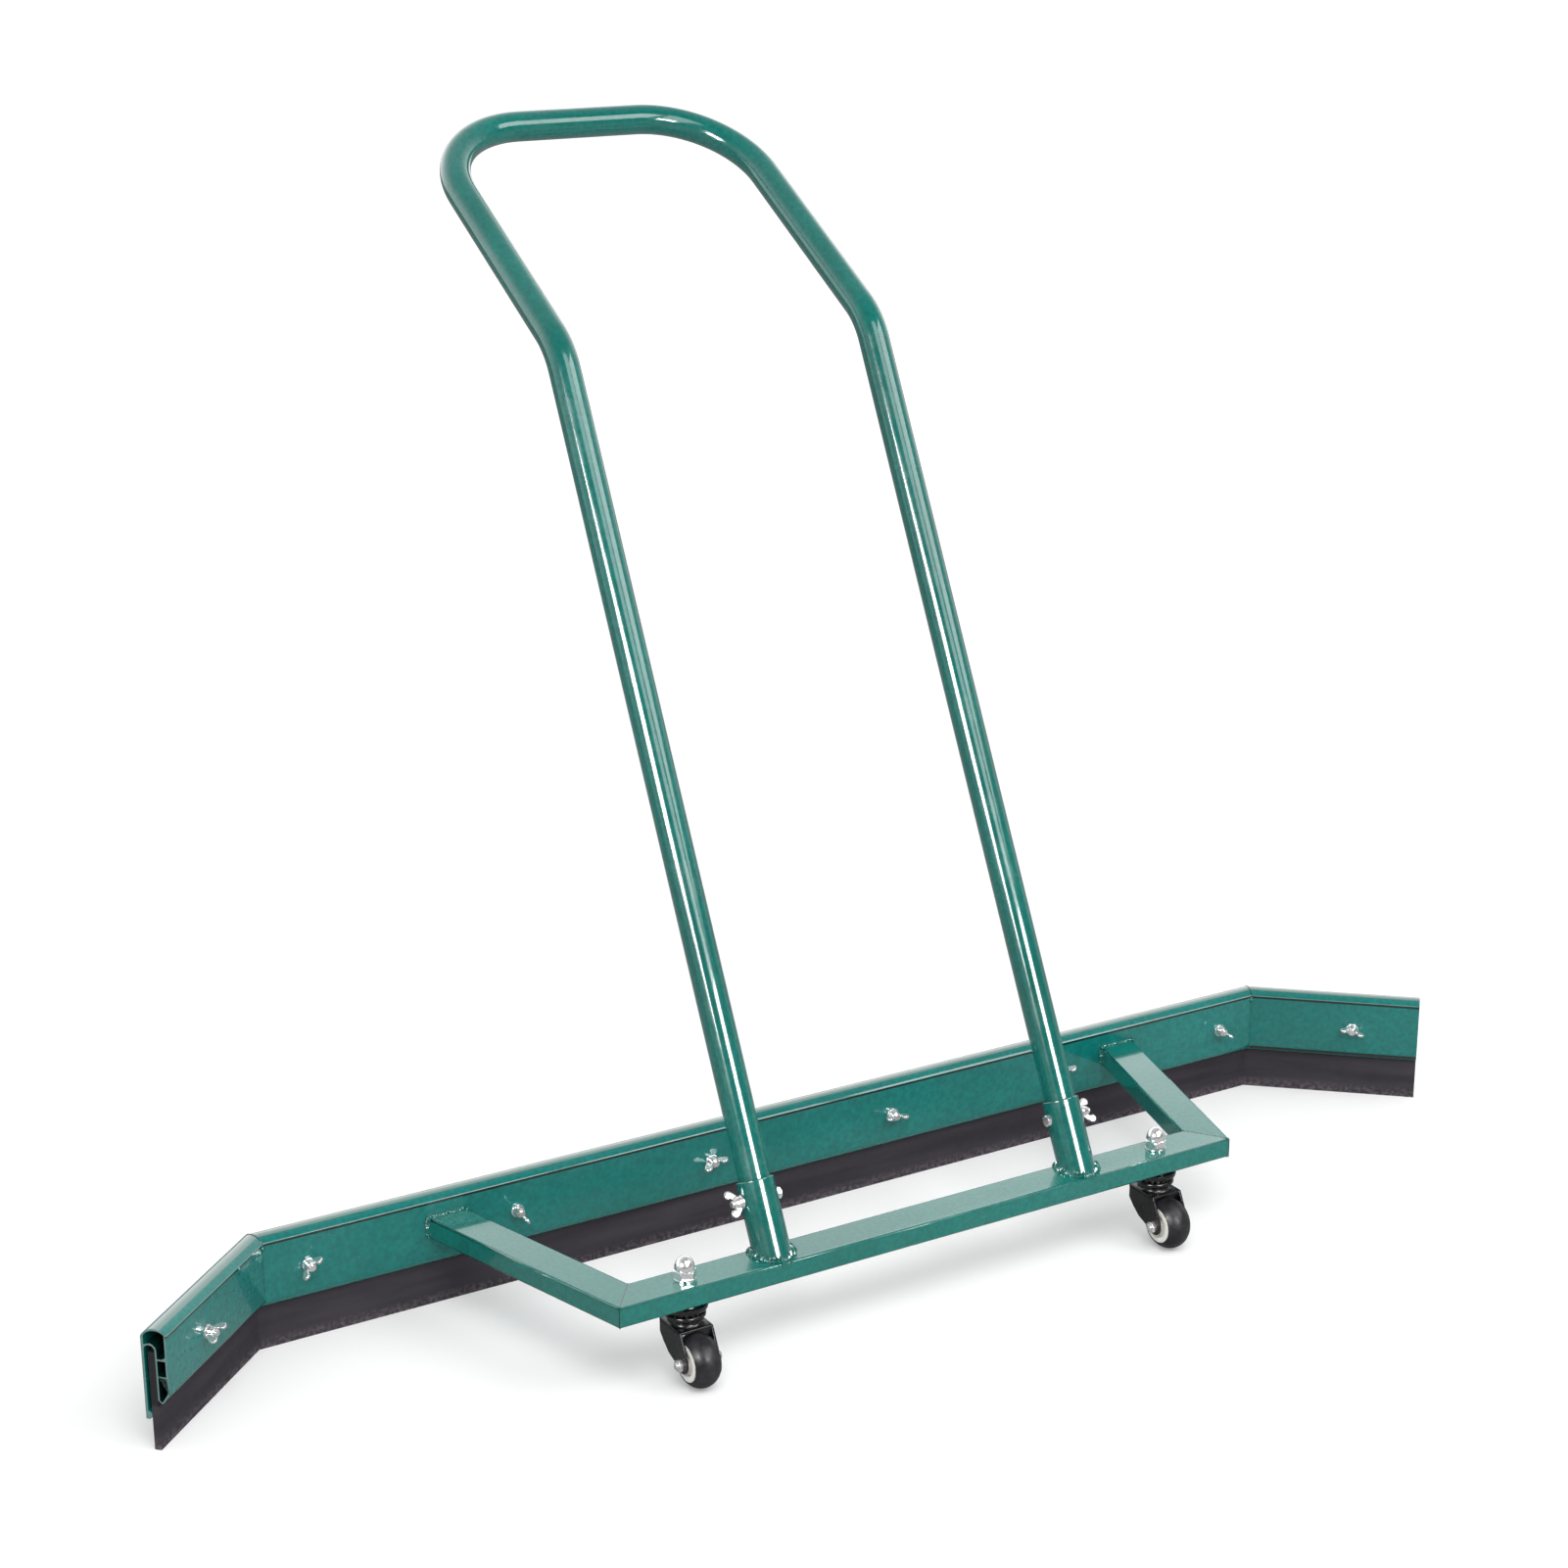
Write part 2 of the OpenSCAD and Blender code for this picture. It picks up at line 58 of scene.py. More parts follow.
# %% Name the sizes that the pieces share
MM = 0.001
LEFT, RIGHT = -1, 1
SIDE_NAMES = {LEFT: "left", RIGHT: "right"}
AXIS_X, AXIS_Y, AXIS_Z = Vector((1, 0, 0)), Vector((0, 1, 0)), Vector((0, 0, 1))
BLADE_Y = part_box("crossbar")[0].y + 246 * MM
BAR_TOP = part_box("crossbar")[1].z
CREST_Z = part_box("main_channel")[1].z
CORNER_X = 562.5 * MM
WING_ANGLE = math.radians(42)
print("blade face at y =", round(BLADE_Y, 4), "bar top at z =", round(BAR_TOP, 4))

# %% [markdown]
# ## Two small helpers for placing things
# A matrix moves and turns a whole mesh in one go. Building one from a point and two directions is the
# easiest way to say "stand here, point that way" without thinking in angles.

# %% Write the placing helpers
def at(x, y, z):
    """Moves by a distance in millimetres."""
    return Matrix.Translation(Vector((x, y, z)) * MM)


def turn(degrees, axis):
    return Matrix.Rotation(math.radians(degrees), 4, axis)


def stand(point, up, across):
    """Puts local Z along up and local X as near to across as it can be."""
    z = Vector(up).normalized()
    x = (Vector(across) - z * z.dot(Vector(across))).normalized()
    y = z.cross(x)
    turned = Matrix((x, y, z)).transposed().to_4x4()
    return Matrix.Translation(Vector(point)) @ turned

# %% [markdown]
# ## Painted metal
# The green is a glossy powder coat: colour under a clear, slightly rippled skin. A Principled shader
# with a coat does this. Noise at three sizes gives slow drifts of tone, the fine orange-peel ripple and
# a few dull scuffs, so that no face is one flat colour. All of it reads Object coordinates, which stay
# with the metal when a piece moves.

# %% Write the helpers that every finish uses
def new_finish(name):
    material = bpy.data.materials.new(name)
    material.use_nodes = True
    nodes = material.node_tree.nodes
    return material, nodes, material.node_tree.links, nodes["Principled BSDF"]


def noise(nodes, links, size, detail=4.0, stretch=(1, 1, 1)):
    """A noise pattern whose lumps are about as large as size, in metres."""
    place = nodes.new("ShaderNodeTexCoord")
    scale = nodes.new("ShaderNodeMapping")
    scale.inputs["Scale"].default_value = stretch
    cloud = nodes.new("ShaderNodeTexNoise")
    cloud.inputs["Scale"].default_value = 1 / size
    cloud.inputs["Detail"].default_value = detail
    links.new(place.outputs["Object"], scale.inputs["Vector"])
    links.new(scale.outputs["Vector"], cloud.inputs["Vector"])
    return cloud.outputs["Fac"]


def ramp(nodes, links, source, stops):
    """Maps a 0 to 1 pattern to colours; stops are (place, grey or colour)."""
    band = nodes.new("ShaderNodeValToRGB")
    ends = band.color_ramp.elements
    while len(ends) < len(stops):
        ends.new(0.5)
    for end, (place, colour) in zip(ends, stops):
        end.position = place
        end.color = (*colour, 1) if isinstance(colour, tuple) else (colour, colour, colour, 1)
    links.new(source, band.inputs["Fac"])
    return band.outputs["Color"]


def blend(nodes, links, share, under, over):
    """Mixes two colours by a pattern, or by a plain number."""
    mix = nodes.new("ShaderNodeMix")
    mix.data_type = "RGBA"
    for socket, value in (("Factor", share), ("A", under), ("B", over)):
        if socket == "Factor":
            target = mix.inputs["Factor"]
        else:
            target = next(i for i in mix.inputs if i.name == socket and i.type == "RGBA")
        if isinstance(value, bpy.types.NodeSocket):
            links.new(value, target)
        elif isinstance(value, tuple):
            target.default_value = (*value, 1)
        else:
            target.default_value = value
    return next(o for o in mix.outputs if o.type == "RGBA")


def add_bump(nodes, links, shader, height, depth, strength=1.0):
    """Raises the surface by a pattern; depth is in metres."""
    bump = nodes.new("ShaderNodeBump")
    bump.inputs["Distance"].default_value = depth
    bump.inputs["Strength"].default_value = strength
    links.new(height, bump.inputs["Height"])
    links.new(bump.outputs["Normal"], shader.inputs["Normal"])


# %% Write the helpers that mark a part of a piece
def object_axes(nodes, links, angle=0.0, corner=(0, 0, 0)):
    """Object X, Y and Z in metres, measured from a corner along axes turned about Z."""
    place = nodes.new("ShaderNodeTexCoord")
    frame_at = nodes.new("ShaderNodeMapping")
    frame_at.vector_type = "TEXTURE"
    frame_at.inputs["Location"].default_value = corner
    frame_at.inputs["Rotation"].default_value = (0, 0, angle)
    parts = nodes.new("ShaderNodeSeparateXYZ")
    links.new(place.outputs["Object"], frame_at.inputs["Vector"])
    links.new(frame_at.outputs["Vector"], parts.inputs["Vector"])
    return parts.outputs


def span(nodes, links, source, low, high, at_low, at_high):
    """Maps a number that runs from low to high to one that runs from at_low to at_high."""
    run = nodes.new("ShaderNodeMapRange")
    for socket, value in (("From Min", low), ("From Max", high), ("To Min", at_low), ("To Max", at_high)):
        run.inputs[socket].default_value = value
    links.new(source, run.inputs["Value"])
    return run.outputs["Result"]


def times(nodes, links, one, other):
    product = nodes.new("ShaderNodeMath")
    product.operation = "MULTIPLY"
    links.new(one, product.inputs[0])
    links.new(other, product.inputs[1])
    return product.outputs["Value"]


def band(nodes, links, source, low, high, fade=0.05, most=1.0):
    """most between low and high, fading to 0 on both sides; lengths in millimetres."""
    rise = span(nodes, links, source, (low - fade) * MM, low * MM, 0.0, most)
    fall = span(nodes, links, source, high * MM, (high + fade) * MM, 1.0, 0.0)
    return times(nodes, links, rise, fall)


# %% Mix the green powder coat
# Painted shade: a dark green laid under the channel's lip, along its keel and inside the wings' cells.
PAINTED_SHADE = (0.0008, 0.016, 0.013)
# Pale tint: painted sheen on the crest, a painted highlight on the lip's edge, and paler wing cut ends.
PALE_SHEEN_AND_CUT_ENDS = (0.21, 0.27, 0.25)


def make_green(name, deep, fresh, ripple, painted_bands=(), side=0):
    """bands are painted shade and sheen lines, each (low, high, fade, most, colour) with heights in millimetres;
    side is a wing's.
    """
    material, nodes, links, shader = new_finish(name)
    drift = ramp(nodes, links, noise(nodes, links, 0.16, 3), [(0.32, 0.0), (0.68, 1.0)])
    tone = blend(nodes, links, drift, deep, fresh)
    mottle = ramp(nodes, links, noise(nodes, links, 0.0045, 5), [(0.36, 0.0), (0.64, 0.5)])
    flecked = blend(nodes, links, mottle, tone, tuple(0.62 * c for c in deep))
    specks = ramp(nodes, links, noise(nodes, links, 0.0022, 6), [(0.66, 0.0), (0.78, 0.8)])
    colour = blend(nodes, links, specks, flecked, tuple(0.9 * c + 0.012 for c in fresh))
    if painted_bands:
        axes = object_axes(nodes, links, -side * WING_ANGLE, (side * CORNER_X, BLADE_Y, 0))
        front = band(nodes, links, axes["Y"], -5, 16)
    # Each band lays a line of painted shade or painted sheen across the channel's front.
    for low, high, fade, most, tint in painted_bands:
        painted_line = times(nodes, links, front, band(nodes, links, axes["Z"], low, high, fade, most))
        colour = blend(nodes, links, painted_line, colour, tint)
    if side:
        # Painted shade: the inside of each wing's hollow cells is darkened.
        shaded_cells = times(nodes, links, band(nodes, links, axes["X"], 0.05 - WING_LEN, WING_LEN - 0.05),
                       band(nodes, links, axes["Y"], 1.95, CHANNEL_D - 2.8))
        shaded_cells = times(nodes, links, shaded_cells, band(nodes, links, axes["Z"], KEEL_Z + 1.9, LIP_Z + 0.7))
        colour = blend(nodes, links, shaded_cells, colour, PAINTED_SHADE)
        # The wings' cut ends are made paler with the same pale tint.
        ends = sorted((side * (WING_LEN - 0.04), side * (WING_LEN + 2)))
        colour = blend(nodes, links, band(nodes, links, axes["X"], *ends, 0.02, 0.55), colour, PALE_SHEEN_AND_CUT_ENDS)
    links.new(colour, shader.inputs["Base Color"])
    scuffs = ramp(nodes, links, noise(nodes, links, 0.05, 8, (1, 1, 2)), [(0.45, 0.16), (0.75, 0.32)])
    links.new(scuffs, shader.inputs["Roughness"])
    shader.inputs["Coat Weight"].default_value = 1.0
    shader.inputs["Coat Roughness"].default_value = 0.04
    add_bump(nodes, links, shader, noise(nodes, links, 0.0035, 2), 0.00005, ripple)
    return material


CREST_Z, LIP_Z, KEEL_Z = 115.0, 109.5, 44.5
WING_LEN, CHANNEL_D = 177, 24
GREEN = make_green("green_powder_coat", (0.001, 0.158, 0.132), (0.004, 0.198, 0.168), 0.12)
GREEN_TUBE = make_green("green_tube_enamel", (0.001, 0.128, 0.106), (0.002, 0.172, 0.146), 0.04)
GREEN_SEAM = make_green("green_in_the_seams", (0.0005, 0.020, 0.017), (0.001, 0.045, 0.038), 0.3)
# Painted light on the channel's front: crest sheen, shadow under the lip, lip-edge highlight, keel shade.
PAINTED_LIGHT_LINES = [(CREST_Z - 0.5, CREST_Z + 5, 0.5, 0.7, PALE_SHEEN_AND_CUT_ENDS), (LIP_Z - 2.6, LIP_Z - 0.3, 0.5, 0.92, PAINTED_SHADE),
         (LIP_Z + 0.1, LIP_Z + 0.6, 0.3, 0.45, PALE_SHEEN_AND_CUT_ENDS), (KEEL_Z - 5, KEEL_Z + 0.3, 0.5, 0.8, PAINTED_SHADE)]
GREEN_CHANNELS_PAINTED_LIGHT = {side: make_green(name, (0.001, 0.160, 0.142), (0.004, 0.202, 0.182), 0.12, PAINTED_LIGHT_LINES, side)
                  for side, name in ((0, "green_main_channel_painted_light"), (LEFT, "green_left_wing_painted_light"),
                                     (RIGHT, "green_right_wing_painted_light"))}
print("greens mixed:", [m.name for m in bpy.data.materials])

# %% [markdown]
# ## Rubber
# The strip is cut from brown-black sheet. Its faces are dull, with long faint streaks from the rollers,
# and its lower edge is scuffed paler by the court. Object Z says how high above the court a point is,
# so a ramp on it fades the scuffing upwards.

# %% Mix the strip's rubber
def make_strip_rubber():
    material, nodes, links, shader = new_finish("strip_rubber_and_painted_shadow")
    streaks = ramp(nodes, links, noise(nodes, links, 0.05, 7, (0.25, 0.25, 3)),
                   [(0.35, (0.022, 0.018, 0.026)), (0.7, (0.045, 0.037, 0.050))])
    height = object_axes(nodes, links)["Z"]
    high = span(nodes, links, height, 0.0, 0.012, 0.0, 1.0)
    edge = ramp(nodes, links, high, [(0.0, (0.11, 0.09, 0.09)), (1.0, (0.0, 0.0, 0.0))])
    worn = nodes.new("ShaderNodeMix")
    worn.data_type = "RGBA"
    worn.blend_type = "ADD"
    grains = ramp(nodes, links, noise(nodes, links, 0.004, 5), [(0.42, 0.0), (0.62, 0.8)])
    links.new(grains, worn.inputs[0])
    links.new(streaks, worn.inputs[6])
    links.new(edge, worn.inputs[7])
    # Painted shadow: from just under the channel's keel upwards the strip turns nearly black.
    shaded = blend(nodes, links, band(nodes, links, height, KEEL_Z - 2.0, KEEL_Z + 60, 1.0, 0.85),
                   worn.outputs[2], (0.004, 0.003, 0.005))
    links.new(shaded, shader.inputs["Base Color"])
    shader.inputs["Specular IOR Level"].default_value = 0.35
    links.new(ramp(nodes, links, noise(nodes, links, 0.02, 6), [(0.3, 0.55), (0.7, 0.78)]),
              shader.inputs["Roughness"])
    add_bump(nodes, links, shader, noise(nodes, links, 0.0016, 5, (0.4, 0.4, 1)), 0.00012, 0.6)
    return material


STRIP = make_strip_rubber()

# %% [markdown]
# ## Bright zinc, black steel, tyre and hub
# The fasteners are zinc-plated: metal, a little cloudy, with a faint warm and cool drift. The casters
# have glossy black steel, a rubber tyre and a cream nylon hub. Small parts still need pattern, only at
# a smaller size.

# %% Mix the finishes of the small parts
def make_metal(name, cool, warm, low, high, metallic=1.0):
    material, nodes, links, shader = new_finish(name)
    drift = ramp(nodes, links, noise(nodes, links, 0.006, 4), [(0.35, 0.0), (0.65, 1.0)])
    links.new(blend(nodes, links, drift, cool, warm), shader.inputs["Base Color"])
    shader.inputs["Metallic"].default_value = metallic
    cloudy = ramp(nodes, links, noise(nodes, links, 0.0025, 6), [(0.3, low), (0.75, high)])
    links.new(cloudy, shader.inputs["Roughness"])
    add_bump(nodes, links, shader, noise(nodes, links, 0.0012, 3), 0.00004, 0.5)
    return material


def make_moulded(name, dark, light, low, high, grain, coat, specular=0.5):
    material, nodes, links, shader = new_finish(name)
    drift = ramp(nodes, links, noise(nodes, links, 0.012, 5), [(0.35, 0.0), (0.7, 1.0)])
    links.new(blend(nodes, links, drift, dark, light), shader.inputs["Base Color"])
    patches = ramp(nodes, links, noise(nodes, links, 0.005, 6), [(0.3, low), (0.7, high)])
    links.new(patches, shader.inputs["Roughness"])
    shader.inputs["Specular IOR Level"].default_value = specular
    shader.inputs["Coat Weight"].default_value = coat
    shader.inputs["Coat Roughness"].default_value = 0.12
    add_bump(nodes, links, shader, noise(nodes, links, grain, 4), 0.00008, 0.5)
    return material


ZINC = make_metal("bright_zinc", (0.93, 0.93, 0.95), (0.96, 0.93, 0.92), 0.12, 0.26, 0.86)
BALL_STEEL = make_metal("polished_ball_steel", (0.60, 0.60, 0.62), (0.72, 0.71, 0.70), 0.10, 0.20)
BLACK = make_moulded("black_enamel", (0.002, 0.002, 0.003), (0.007, 0.006, 0.007), 0.20, 0.36, 0.0014, 0.6, 0.4)
TYRE = make_moulded("tyre_rubber", (0.003, 0.003, 0.004), (0.030, 0.027, 0.034), 0.28, 0.50, 0.0016, 0.0, 0.5)
CREAM = make_moulded("cream_nylon", (0.84, 0.82, 0.75), (0.92, 0.91, 0.86), 0.30, 0.45, 0.0015, 0.1)
print("finishes:", [m.name for m in bpy.data.materials])

# %% [markdown]
# ## Turning a bmesh into a piece
# Each new piece is one mesh whose object stays at the origin. Smooth shading with sharp edges kept by
# angle lets round walls look round and corners stay crisp. The piece then rides on the body that
# carries it and hides the plain solids it stands for.

# %% Write the helper that finishes a piece
def make_piece(name, bm, finish, body, replaced=(), sharp=40):
    bmesh.ops.remove_doubles(bm, verts=bm.verts, dist=1e-6)
    bmesh.ops.recalc_face_normals(bm, faces=bm.faces)
    mesh = bpy.data.meshes.new(name)
    bm.to_mesh(mesh)
    bm.free()
    return place_mesh(name, mesh, finish, body, replaced, sharp)


def place_mesh(name, mesh, finish, body, replaced=(), sharp=40):
    mesh.materials.clear()
    mesh.materials.append(finish)
    mesh.shade_smooth()
    mesh.set_sharp_from_angle(angle=math.radians(sharp))
    piece = bpy.data.objects.new(name, mesh)
    bpy.context.scene.collection.objects.link(piece)
    smooth = piece.modifiers.new("even_normals", "WEIGHTED_NORMAL")
    smooth.keep_sharp = True
    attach(piece, body)
    if replaced:
        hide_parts(*replaced)
    size = [round(v / MM, 1) for v in piece.dimensions]
    print(name, "faces:", len(mesh.polygons), "size in mm:", size)
    return piece

# %% [markdown]
# ## Softened edges on the channel and the strip
# The channel is an extrusion and the frame is cut from square tube; their solids already have the right
# shape, down to the hollow cells. What the channel and the rubber strip lack is the slightly rounded edge
# that catches light. Three modifiers add it: Weld joins the loose triangles, Decimate merges flat
# neighbours, and Bevel rounds what is left. The crossbar and the arms get Weld and Decimate but no Bevel.

# %% Soften the carried-over solids
def soften(node, finish, width):
    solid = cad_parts[node]
    solid.data.materials.clear()
    solid.data.materials.append(finish)
    weld = solid.modifiers.new("weld", "WELD")
    weld.merge_threshold = 0.00001
    merge = solid.modifiers.new("merge_flats", "DECIMATE")
    merge.decimate_type = "DISSOLVE"
    merge.angle_limit = math.radians(0.6)
    if width:
        bevel = solid.modifiers.new("soft_edge", "BEVEL")
        bevel.width = width * MM
        bevel.segments = 2
        bevel.limit_method = "ANGLE"
        bevel.angle_limit = math.radians(38)
        bevel.use_clamp_overlap = False
        bevel.harden_normals = False
    solid.data.shade_smooth()
    smooth = solid.modifiers.new("even_normals", "WEIGHTED_NORMAL")
    smooth.keep_sharp = True


for side, node in ((0, "main_channel"), (LEFT, "left_wing_channel"), (RIGHT, "right_wing_channel")):
    soften(node, GREEN_CHANNELS_PAINTED_LIGHT[side], 0.35)
for node in ("crossbar", "left_arm", "right_arm"):
    soften(node, GREEN, 0.0)
soften("rubber_blade", STRIP, 0.3)
for side in SIDE_NAMES.values():
    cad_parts[side + "_caster_balls"].data.materials.clear()
    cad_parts[side + "_caster_balls"].data.materials.append(BALL_STEEL)

# %% [markdown]
# ## The handle
# One tube, bent four times in a bender: it rises from the right socket, kinks back, turns across as the
# grip and comes down the other side. A ring of points pushed along and spun round each bend's centre
# does what the bender does, and keeps the tube's width through every bend.

# %% Give the handle's sizes
LEG_X = 168 * MM
TUBE_R = 15 * MM
TUBE_WALL = 1.5 * MM
LEAN_LOW, LEAN_HIGH = math.radians(26.3), math.radians(59)
KINK_Z, GRIP_Z = 852 * MM, 1023 * MM
KINK_R, CORNER_R = 77 * MM, 102 * MM
FOOT_Y = BLADE_Y - 223.6 * MM
FOOT_S = 9 * MM
RING_POINTS = 48
kink_s = (KINK_Z - BAR_TOP) / math.cos(LEAN_LOW)
kink_t = KINK_R * math.tan((LEAN_HIGH - LEAN_LOW) / 2)
upper = (GRIP_Z - KINK_Z) / math.cos(LEAN_HIGH) - kink_t - CORNER_R
up_low = Vector((0, math.sin(LEAN_LOW), math.cos(LEAN_LOW)))
up_high = Vector((0, math.sin(LEAN_HIGH), math.cos(LEAN_HIGH)))
back_low = Vector((0, math.cos(LEAN_LOW), -math.sin(LEAN_LOW)))
back_high = Vector((0, math.cos(LEAN_HIGH), -math.sin(LEAN_HIGH)))


# %% Bend the handle
def push(bm, ring, way):
    """Pulls a ring of edges out into a straight stretch of tube."""
    grown = bmesh.ops.extrude_edge_only(bm, edges=ring)["geom"]
    verts = [v for v in grown if isinstance(v, bmesh.types.BMVert)]
    bmesh.ops.translate(bm, verts=verts, vec=way)
    return [e for e in grown if isinstance(e, bmesh.types.BMEdge)]


def bend(bm, ring, centre, axis, degrees, steps):
    """Spins a ring of edges round a bend's centre."""
    spun = bmesh.ops.spin(bm, geom=ring, cent=centre, axis=axis, dvec=(0, 0, 0),
                          angle=math.radians(degrees), steps=steps, use_duplicate=False)
    return [e for e in spun["geom_last"] if isinstance(e, bmesh.types.BMEdge)]


def ring_middle(ring):
    verts = {v for e in ring for v in e.verts}
    return sum((v.co for v in verts), Vector()) / len(verts)


bm = bmesh.new()
base = Vector((LEG_X, FOOT_Y, BAR_TOP))
foot = stand(base + up_low * FOOT_S, up_low, AXIS_X)
circle = bmesh.ops.create_circle(bm, segments=RING_POINTS, radius=TUBE_R, matrix=foot)
ring = list({e for v in circle["verts"] for e in v.link_edges})
kink_turn = math.degrees(LEAN_HIGH - LEAN_LOW)
corner_axis = up_high.cross(-AXIS_X)
ring = push(bm, ring, up_low * (kink_s - kink_t - FOOT_S))
ring = bend(bm, ring, ring_middle(ring) + back_low * KINK_R, AXIS_X, -kink_turn, 10)
ring = push(bm, ring, up_high * upper)
ring = bend(bm, ring, ring_middle(ring) - AXIS_X * CORNER_R, corner_axis, 90, 24)
ring = push(bm, ring, -AXIS_X * 2 * (LEG_X - CORNER_R))
ring = bend(bm, ring, ring_middle(ring) - up_high * CORNER_R, corner_axis, 90, 24)
ring = push(bm, ring, -up_high * upper)
ring = bend(bm, ring, ring_middle(ring) + back_high * KINK_R, AXIS_X, kink_turn, 10)
ring = push(bm, ring, -up_low * (kink_s - kink_t - FOOT_S))
print("left foot lands at", [round(v / MM, 2) for v in ring_middle(ring)])
bmesh.ops.recalc_face_normals(bm, faces=bm.faces)
bmesh.ops.solidify(bm, geom=bm.faces, thickness=TUBE_WALL)
make_piece("handle_tube", bm, GREEN_TUBE, "frame", ["handle"])

# %% [markdown]
# ## Turned shapes
# Washers, nuts, hubs and tyres are all round, so each is half a drawing, spun. The drawing is a short
# chain of points: distance from the axis and height. A closed chain makes a ring, and a chain that
# starts and ends on the axis makes a solid.

# %% Write the lathe
def lathe(bm, points, steps=48, closed=True, place=Matrix.Identity(4)):
    """Spins a drawing of (radius, height) points in millimetres about local Z."""
    made = [bm.verts.new(Vector((r, 0, z)) * MM) for r, z in points]
    chain = [bm.edges.new(pair) for pair in zip(made, made[1:] + made[:1])]
    if not closed:
        bm.edges.remove(chain.pop())
    spun = bmesh.ops.spin(bm, geom=made + chain, cent=(0, 0, 0), axis=(0, 0, 1), dvec=(0, 0, 0),
                          angle=math.tau, steps=steps, use_merge=True, use_duplicate=False)
    reached = {v for f in bm.faces for v in f.verts if f.index == -1}
    bmesh.ops.remove_doubles(bm, verts=bm.verts, dist=1e-6)
    return spun, reached


def turned(points, steps=48, closed=True):
    bm = bmesh.new()
    lathe(bm, points, steps, closed)
    bmesh.ops.recalc_face_normals(bm, faces=bm.faces)
    return bm


def add_copy(target, source, place):
    """Adds a moved copy of one bmesh to another."""
    mesh = bpy.data.meshes.new("spare")
    source.to_mesh(mesh)
    mesh.transform(place)
    target.from_mesh(mesh)
    bpy.data.meshes.remove(mesh)

# %% [markdown]
# ## Hexagon corners
# A hexagon head is turned first, which gives it the round chamfer, and then its sides are milled flat.
# Here the turned blank has a point every five degrees, and each point that sticks out past a flat is
# pulled in to it. The curved lines where flat meets chamfer come out by themselves.

# %% Write the hexagon cutter
def mill_hexagon(bm, across, low, high):
    """Pulls in what sticks out past six flats, between two heights in millimetres."""
    for v in bm.verts:
        if low * MM - 1e-7 <= v.co.z <= high * MM + 1e-7:
            radius = math.hypot(v.co.x, v.co.y)
            nearest = (math.degrees(math.atan2(v.co.y, v.co.x)) % 60) - 30
            flat = across / 2 * MM / math.cos(math.radians(nearest))
            if radius > flat:
                v.co.x *= flat / radius
                v.co.y *= flat / radius


def hexagon_nut(across, height, bore):
    corner = across / 2 / math.cos(math.radians(30))
    flank = [(across / 2 - 0.4, 0), (across / 2, 0.15), (across / 2 + 0.35, 0.4), (corner - 0.15, 0.75),
             (corner, 1.0)]
    points = [(bore + 0.35, 0)] + flank
    points += [(r, height - z) for r, z in reversed(flank)]
    points += [(bore + 0.35, height), (bore, height - 0.35), (bore, 0.35)]
    bm = turned(points, 72)
    mill_hexagon(bm, across, 0, height)
    return bm

# %% [markdown]
# ## Screw threads
# A few millimetres of thread show past every nut. A thread is a small V drawn once and spun while it
# climbs one pitch a turn, so each turn starts where the last one ended. The top is cut off square with
# a bisecting plane and filled.

# %% Write the threaded bolt
def threaded_bolt(length, thread, radius=3.0, pitch=1.0, across=10.0, head=4.0):
    """A bolt along +Z with its head below zero; the last stretch carries the thread."""
    bm = bmesh.new()
    corner = across / 2 / math.cos(math.radians(30))
    points = [(0, -head), (across / 2 - 0.5, -head), (across / 2, -head + 0.15),
              (across / 2 + 0.35, -head + 0.4), (corner - 0.15, -head + 0.75), (corner, -head + 1.0),
              (corner, -0.15), (corner - 0.15, 0), (radius, 0), (radius, length - thread),
              (radius * 0.6, length - thread), (0, length - thread)]
    lathe(bm, points, 72, closed=False)
    mill_hexagon(bm, across, -head, 0)
    groove = radius - 0.55
    turns = int(thread / pitch) + 1
    start = (length - thread - 0.5) * MM
    made = [bm.verts.new((r * MM, 0, start + z * pitch * MM)) for r, z in
            ((groove, 0), (radius, 0.42), (radius, 0.58), (groove, 1))]
    chain = [bm.edges.new(pair) for pair in zip(made, made[1:])]
    bmesh.ops.spin(bm, geom=made + chain, cent=(0, 0, 0), axis=(0, 0, 1),
                   dvec=(0, 0, pitch * MM / 20), angle=math.tau * turns, steps=20 * turns)
    bmesh.ops.remove_doubles(bm, verts=bm.verts, dist=1e-6)
    everything = bm.verts[:] + bm.edges[:] + bm.faces[:]
    cut = bmesh.ops.bisect_plane(bm, geom=everything, plane_co=(0, 0, length * MM),
                                 plane_no=(0, 0, 1), clear_outer=True)["geom_cut"]
    rim = [e for e in cut if isinstance(e, bmesh.types.BMEdge)]
    bmesh.ops.triangle_fill(bm, edges=rim, use_beauty=True)
    return bm

# %% [markdown]
# ## The clamp bolts
# Eight bolts pass through the channel from behind and pinch the rubber. The rule for their places is
# the same one the solids follow: an even pitch on the straight and one on each wing. Nuts and washers
# use the same places, so it is written once.

# %% Find the places of the clamp bolts
BOLT_Z = 79 * MM
BOLT_PITCH = 208 * MM
WING_BOLT_U = 108 * MM
WASHER_T, NUT_H, TIP = 1.6, 7.0, 2.5
SEAT_GAP = 0.1


def clamp_place(i):
    """Local Z points out of the blade's front face, and local X along the blade."""
    wing = LEFT if i == 0 else RIGHT if i == 7 else 0
    if wing:
        angle = -wing * WING_ANGLE
        point = Vector((wing * (CORNER_X + WING_BOLT_U * math.cos(WING_ANGLE)),
                        BLADE_Y - WING_BOLT_U * math.sin(WING_ANGLE), BOLT_Z))
    else:
        angle = 0.0
        point = Vector(((i - 3.5) * BOLT_PITCH, BLADE_Y, BOLT_Z))
    out = Matrix.Rotation(angle, 3, "Z") @ -AXIS_Y
    return stand(point, out, Matrix.Rotation(angle, 3, "Z") @ AXIS_X)


